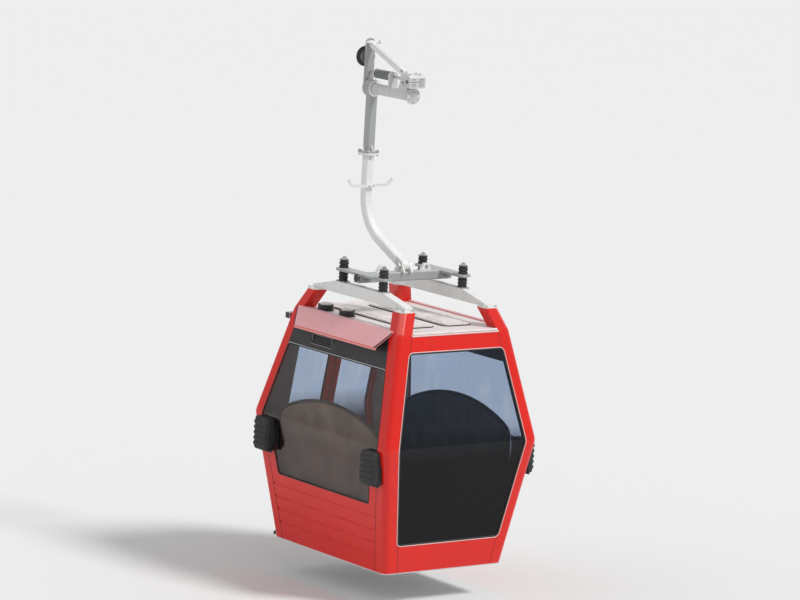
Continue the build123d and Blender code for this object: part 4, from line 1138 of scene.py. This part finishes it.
ceilingPlastic = plasticMaterial("ceilingPlastic", (0.30, 0.30, 0.29), 0.55, 300.0, 0.0002)
lampPlastic = plasticMaterial("lampPlastic", (0.75, 0.75, 0.72), 0.35, 300.0, 0.0001)


# How far the benches' backs lean outwards at a height
def leanAt(z):
    return lining["lean"] * (z - lining["seatZ"]) / lining["rise"]


# The outline of a bench's back: upright sides, eased shoulders and an arched top, as (across, height) points
def archedEdge(half, top, arch, low, shoulder=0.090, steps=28):
    radius = (half * half + arch * arch) / (2 * arch)
    swing = math.asin(half / radius)
    turns = [-swing + 2 * swing * i / steps for i in range(steps + 1)]
    run = [Vector((radius * math.sin(turn), top - radius + radius * math.cos(turn))) for turn in turns]
    corner = run[0]
    start, stop = corner + Vector((0, -shoulder)), corner + (run[3] - corner).normalized() * shoulder
    left = [easedPoint(start, corner, stop, i / 8) for i in range(9)]
    inner = [point for point in run if abs(point.x) < abs(left[-1].x) - 0.01]
    right = [Vector((-point.x, point.y)) for point in reversed(left)]
    return [(-half, low)] + [tuple(point) for point in left + inner + right] + [(half, low)]


def makeLining():
    mat, ceiling, lamp, grille, bolts = newMeshes(5)
    addBox(mat, (0, 0, lining["matZ"]), lining["matHalf"])
    for x in spacedAbout(*lining["studsX"]):
        for y in spacedAbout(*lining["studsY"]):
            addDrum(mat, (x, y, lining["matTop"]), up, *lining["stud"])
    finishPiece("floorMat", mat, "black_rubber", material=matRubber)
    addBox(ceiling, (0, 0, lining["boardZ"]), lining["boardHalf"], *lining["boardEdge"])
    addBox(lamp, (0, 0, lining["lampZ"]), lining["lampHalf"], *lining["lampEdge"])
    for side in both:
        for y in spacedAbout(side * lining["grilleY"], *lining["grilleSlats"]):
            addBox(grille, (0, y, lining["grilleZ"]), lining["grilleHalf"], *lining["grilleEdge"])
    finishPiece("ceilingBoard", ceiling, "roof_white", material=ceilingPlastic)
    finishPiece("ceilingLamp", lamp, "roof_white", material=lampPlastic)
    finishPiece("ceilingGrilles", grille, "black_panel")
    rims, noses = [], []
    x, half, z = lining["nosing"]
    for sign in both:
        rims.append([Vector((sign * (lining["rimX"] + leanAt(high)), y, high)) for y, high in
                     archedEdge(*lining["rimEdge"])])
        noses.append([Vector((sign * x, y * half, z)) for y in both])
        spots = [(sign * lining["boltX"], y, lining["boltZ"]) for y in lining["boltsY"]]
        addBolts(bolts, spots, (-sign, 0, 0), lining["bolt"])
    addTubes("benchRims", rims, lining["rimRadius"], smoothness=5)
    addTubes("seatNosings", noses, lining["nosingRadius"], "aluminium", smoothness=4)
    finishPiece("benchBolts", bolts, "steel")


makeLining()
print("lining: floor mat, ceiling, lamp, bench rims")

# Seat and back pads: cloth blown up between sewn channels, with thread and piping laid on it
pads = {
    "seatNear": 0.256, "seatFar": 0.601, "seatLow": -3.640, "seatHigh": -3.580, "half": 0.751,
    "backNear": 0.605, "backFar": 0.650, "backLow": -3.576, "backTop": -2.814, "backArch": 0.190,
    "corner": 0.045, "edge": 0.012,
    "room": 0.009,  # how much smaller the slabs start, so that they swell to the pads' size
    "voxel": 0.010, "pressure": 4.0, "frames": 20,
    "most": 0.011, "still": 0.0001,  # how far the cloth may swell, and below what it counts as still
    "channels": (-0.25, 0.25), "channelHold": 0.0065, "sewnDepth": 0.004,
    "threadSplit": 0.006, "threadRadius": 0.0016,
    "seatThread": (0.268, 0.589, 40), "backThread": (-3.556, -2.864, 60),
    "pipeRadius": 0.0040, "pipeInset": 0.006, "seatPipeDrop": 0.016, "backPipeDepth": 0.012, "pipeStep": 0.02,
}
leather = plasticMaterial("padLeather", (0.052, 0.044, 0.040), 0.46, 150.0, 0.0009)
pipingVinyl = plasticMaterial("pipingVinyl", (0.030, 0.028, 0.027), 0.40, 300.0, 0.0003)


# A flat outline pulled up into a slab with rounded edges; the place turns it into the cabin
def slabFrom(outline, depth, place):
    bm = bmesh.new()
    face = bm.faces.new([bm.verts.new((u, v, 0.0)) for u, v in outline])
    lifted = bmesh.ops.extrude_face_region(bm, geom=[face])["geom"]
    upper = [item for item in lifted if isinstance(item, bmesh.types.BMVert)]
    bmesh.ops.translate(bm, vec=(0, 0, depth), verts=upper)
    bmesh.ops.recalc_face_normals(bm, faces=bm.faces)
    bevelEdges(bm, [edge for edge in bm.edges if edge.calc_face_angle(0.0) > rimAngle], pads["edge"], 3)
    bmesh.ops.transform(bm, matrix=place, verts=bm.verts)
    return bm


def shapeFrom(thing):
    graph = bpy.context.evaluated_depsgraph_get()
    return bpy.data.meshes.new_from_object(thing.evaluated_get(graph), depsgraph=graph)


def inChannel(y):
    return min(abs(y - channel) for channel in pads["channels"]) < pads["channelHold"]


# A slab remeshed evenly, swollen by cloth simulation where it isn't held, and kept within the given limits
def blowUp(name, bm, isHeld, low, high):
    cushion = linkThing(name, meshFrom(name, bm))
    remesh = cushion.modifiers.new("evenMesh", "REMESH")
    remesh.mode = "VOXEL"
    remesh.voxel_size = pads["voxel"]
    blown = shapeFrom(cushion)
    cushion.modifiers.clear()
    cushion.data = blown
    starts = [vert.co.copy() for vert in blown.vertices]
    held = cushion.vertex_groups.new(name="held")
    held.add([i for i, start in enumerate(starts) if isHeld(start)], 1.0, "REPLACE")
    cloth = cushion.modifiers.new("swell", "CLOTH")
    cloth.settings.use_pressure = True
    cloth.settings.uniform_pressure_force = pads["pressure"]
    cloth.settings.vertex_group_mass = "held"
    cloth.settings.effector_weights.gravity = 0.0
    for step in range(1, pads["frames"] + 1):
        scene.frame_set(step)
    blown = shapeFrom(cushion)
    cushion.modifiers.clear()
    cushion.vertex_groups.clear()
    for vert, start in zip(blown.vertices, starts):
        move = vert.co - start
        if move.length > pads["still"]:
            vert.co = start + move.normalized() * pads["most"] * math.tanh(move.length / pads["most"])
    cushion.data = blown
    scene.frame_set(1)
    bpy.data.objects.remove(cushion)
    for vert in blown.vertices:
        vert.co = [min(max(part, least), most) for part, least, most in zip(vert.co, low, high)]
    return blown


def roundedRectangle(inset):
    low, high = (pads["seatNear"] + inset, inset - pads["half"]), (pads["seatFar"] - inset, pads["half"] - inset)
    corners = [Vector((x, y, 0)) for x, y in (low, (high[0], low[1]), high, (low[0], high[1]))]
    return [(point.x, point.y) for point in easeCorners(corners, pads["corner"], 6)]


def backPadOutline(inset):
    edge = archedEdge(pads["half"] - inset, pads["backTop"] - inset, pads["backArch"], pads["backLow"] + inset)
    corners = [Vector((y, z, 0)) for y, z in edge]
    return [(point.x, point.y) for point in easeCorners(corners, pads["corner"], 6, 0.6)]


def refine(outline):
    finer = []
    for start, stop in zip(outline, outline[1:] + outline[:1]):
        count = max(1, int(math.dist(start, stop) / pads["pipeStep"]))
        finer += [(start[0] + (stop[0] - start[0]) * i / count, start[1] + (stop[1] - start[1]) * i / count)
                  for i in range(count)]
    return finer


def treeOf(mesh):
    return BVHTree.FromPolygons([vert.co for vert in mesh.vertices], [face.vertices for face in mesh.polygons])


def surfaceUnder(tree, point, direction):
    point = Vector(point)
    hit = tree.ray_cast(point, Vector(direction))[0]
    return hit if hit else tree.find_nearest(point)[0]


def placePad(name, mesh, node, sign):
    mesh = mesh.copy()
    if sign < 0:
        mesh.transform(Matrix.Scale(-1.0, 4, (1, 0, 0)))
        mesh.flip_normals()
    mesh.shade_smooth()
    mesh.materials.clear()
    mesh.materials.append(leather)
    pad = linkThing(name, mesh)
    finer = pad.modifiers.new("finer", "SUBSURF")
    finer.levels = 1
    finer.render_levels = 1
    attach(pad, "cabin")
    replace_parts(pad, node)


def makePads():
    room, half, seatLow, seatHigh = pads["room"], pads["half"], pads["seatLow"], pads["seatHigh"]
    backNear, backFar, sewn, free = pads["backNear"], pads["backFar"], pads["sewnDepth"], math.inf
    seat = slabFrom(roundedRectangle(room), seatHigh - seatLow - room, Matrix.Translation((0, 0, seatLow)))
    seatMesh = blowUp("seatCushion", seat, lambda start: start.z < seatLow + sewn or inChannel(start.y),
                      (pads["seatNear"], -half, seatLow), (pads["seatFar"], half, seatHigh))
    turn = Matrix(((0, 0, 1, backNear + room), (1, 0, 0, 0), (0, 1, 0, 0), (0, 0, 0, 1)))
    back = slabFrom(backPadOutline(room), backFar - backNear - room, turn)
    backMesh = blowUp("backCushion", back, lambda start: start.x > backFar - sewn or inChannel(start.y),
                      (backNear, -free, pads["backLow"]), (backFar, free, free))
    for vert in backMesh.vertices:
        vert.co.x += leanAt(vert.co.z)
    seatTree, backTree = treeOf(seatMesh), treeOf(backMesh)
    threads = []
    for channel in pads["channels"]:
        for y in (channel - pads["threadSplit"], channel + pads["threadSplit"]):
            threads.append([surfaceUnder(seatTree, (x, y, 0), (0, 0, -1)) for x in evenly(*pads["seatThread"])])
            threads.append([surfaceUnder(backTree, (0, y, z), (1, 0, 0)) for z in evenly(*pads["backThread"])])
    inset, level, depth = pads["pipeInset"], seatHigh - pads["seatPipeDrop"], backNear + pads["backPipeDepth"]
    pipes = [[seatTree.find_nearest(Vector((x, y, level)))[0] for x, y in refine(roundedRectangle(inset))],
             [backTree.find_nearest(Vector((depth + leanAt(z), y, z)))[0]
              for y, z in refine(backPadOutline(inset))]]
    for end, sign in reversed(ends):
        placePad("seatPad" + end.title(), seatMesh, "seat_pad_" + end, sign)
        placePad("backPad" + end.title(), backMesh, "back_pad_" + end, sign)
        for name, runs, radius, closed in (("padThreads", threads, pads["threadRadius"], False),
                                           ("padPiping", pipes, pads["pipeRadius"], True)):
            paths = [[Vector((sign * point.x, point.y, point.z)) for point in run] for run in runs]
            addTubes(name + end.title(), paths, radius, "bench_cover", closed=closed, material=pipingVinyl,
                     smoothness=2 if closed else 1)


makePads()
print("pads: two seats and two backs, sewn and piped")

# Outer trims: a pale pink line round the side window and one along the roof's edge, a painted highlight of their
# lit lips, rivets beside the end panels and bolts under the floor
outerTrim = {
    "spread": 0.011, "lineOut": 0.0008, "lineRadius": 0.0036,
    "edgingHalf": 0.468, "edgingOut": 0.0015, "edgingRise": 0.002, "edgingRadius": 0.0065,
    "rivet": [(0.0, 0.00189), (0.00294, 0.001386), (0.0042, 0.0), (0.00336, -0.001)],
    "endRivets": 6, "endRivetRise": 0.035, "endRivetPitch": 0.095, "endRivetIn": 0.014,
    "sillRivets": 7, "sillRivetRise": 0.024, "sillRivetStart": 0.04, "sillRivetPitch": 0.070, "rivetTilt": -0.16,
    "boltsX": (-0.52, -0.18, 0.18, 0.52), "boltsY": (-0.72, -0.36, 0.36, 0.72), "floorBottom": -4.158,
    "bolt": (0.0085, 0.0045, 1.6),
}
# pale pink paint for the lines that paint the highlight on the lit lips round the side window and along the roof's
# edge
highlightTrimPaint = paintMaterial("highlightTrimPaint", (0.86, 0.60, 0.58), (0.90, 0.70, 0.68), 0.6, 0.05, 0.35, 0.2)


def makeOuterTrims():
    grow, tilt = outerTrim["spread"], outerTrim["rivetTilt"]
    heights = heightsBetween(hull["sideSill"] - grow, hull["beam"] + grow)
    ring = mirroredRing([(besidePost("endReach", z) + grow, z) for z in heights], onSide, -1, outerTrim["lineOut"])
    addTubes("sideWindowHighlight", [easeCorners(ring, seals["corner"] + grow)], outerTrim["lineRadius"], "white_paint",
             closed=True, material=highlightTrimPaint)
    rivets, bolts = newMeshes(2)
    for sign, side in fourCorners:
        for i in range(outerTrim["endRivets"]):
            z = hull["bottom"] + outerTrim["endRivetRise"] + i * outerTrim["endRivetPitch"]
            y = side * (besidePost("sideReach", z) - outerTrim["endRivetIn"])
            addTurned(rivets, outerTrim["rivet"], onEnd(sign, y, z), (sign, 0, tilt), 12)
    for sign in both:
        for i in range(outerTrim["sillRivets"]):
            x = sign * (outerTrim["sillRivetStart"] + i * outerTrim["sillRivetPitch"])
            place = onSide(-1, x, hull["bottom"] + outerTrim["sillRivetRise"])
            addTurned(rivets, outerTrim["rivet"], place, (0, -1, tilt), 12)
    spots = [(x, y, outerTrim["floorBottom"]) for x in outerTrim["boltsX"] for y in outerTrim["boltsY"]]
    addBolts(bolts, spots, (0, 0, -1), outerTrim["bolt"])
    z = hull["top"] + outerTrim["edgingRise"]
    reach = reachAt("sideReach", hull["top"]) + outerTrim["edgingOut"]
    edging = [[Vector((x * outerTrim["edgingHalf"], side * reach, z)) for x in both] for side in both]
    addTubes("roofEdgeHighlight", edging, outerTrim["edgingRadius"], "white_paint", material=highlightTrimPaint)
    finishPiece("panelRivets", rivets, "red_paint")
    finishPiece("floorBolts", bolts, "steel")


makeOuterTrims()
print("outer trims: window line, rivets, floor bolts")
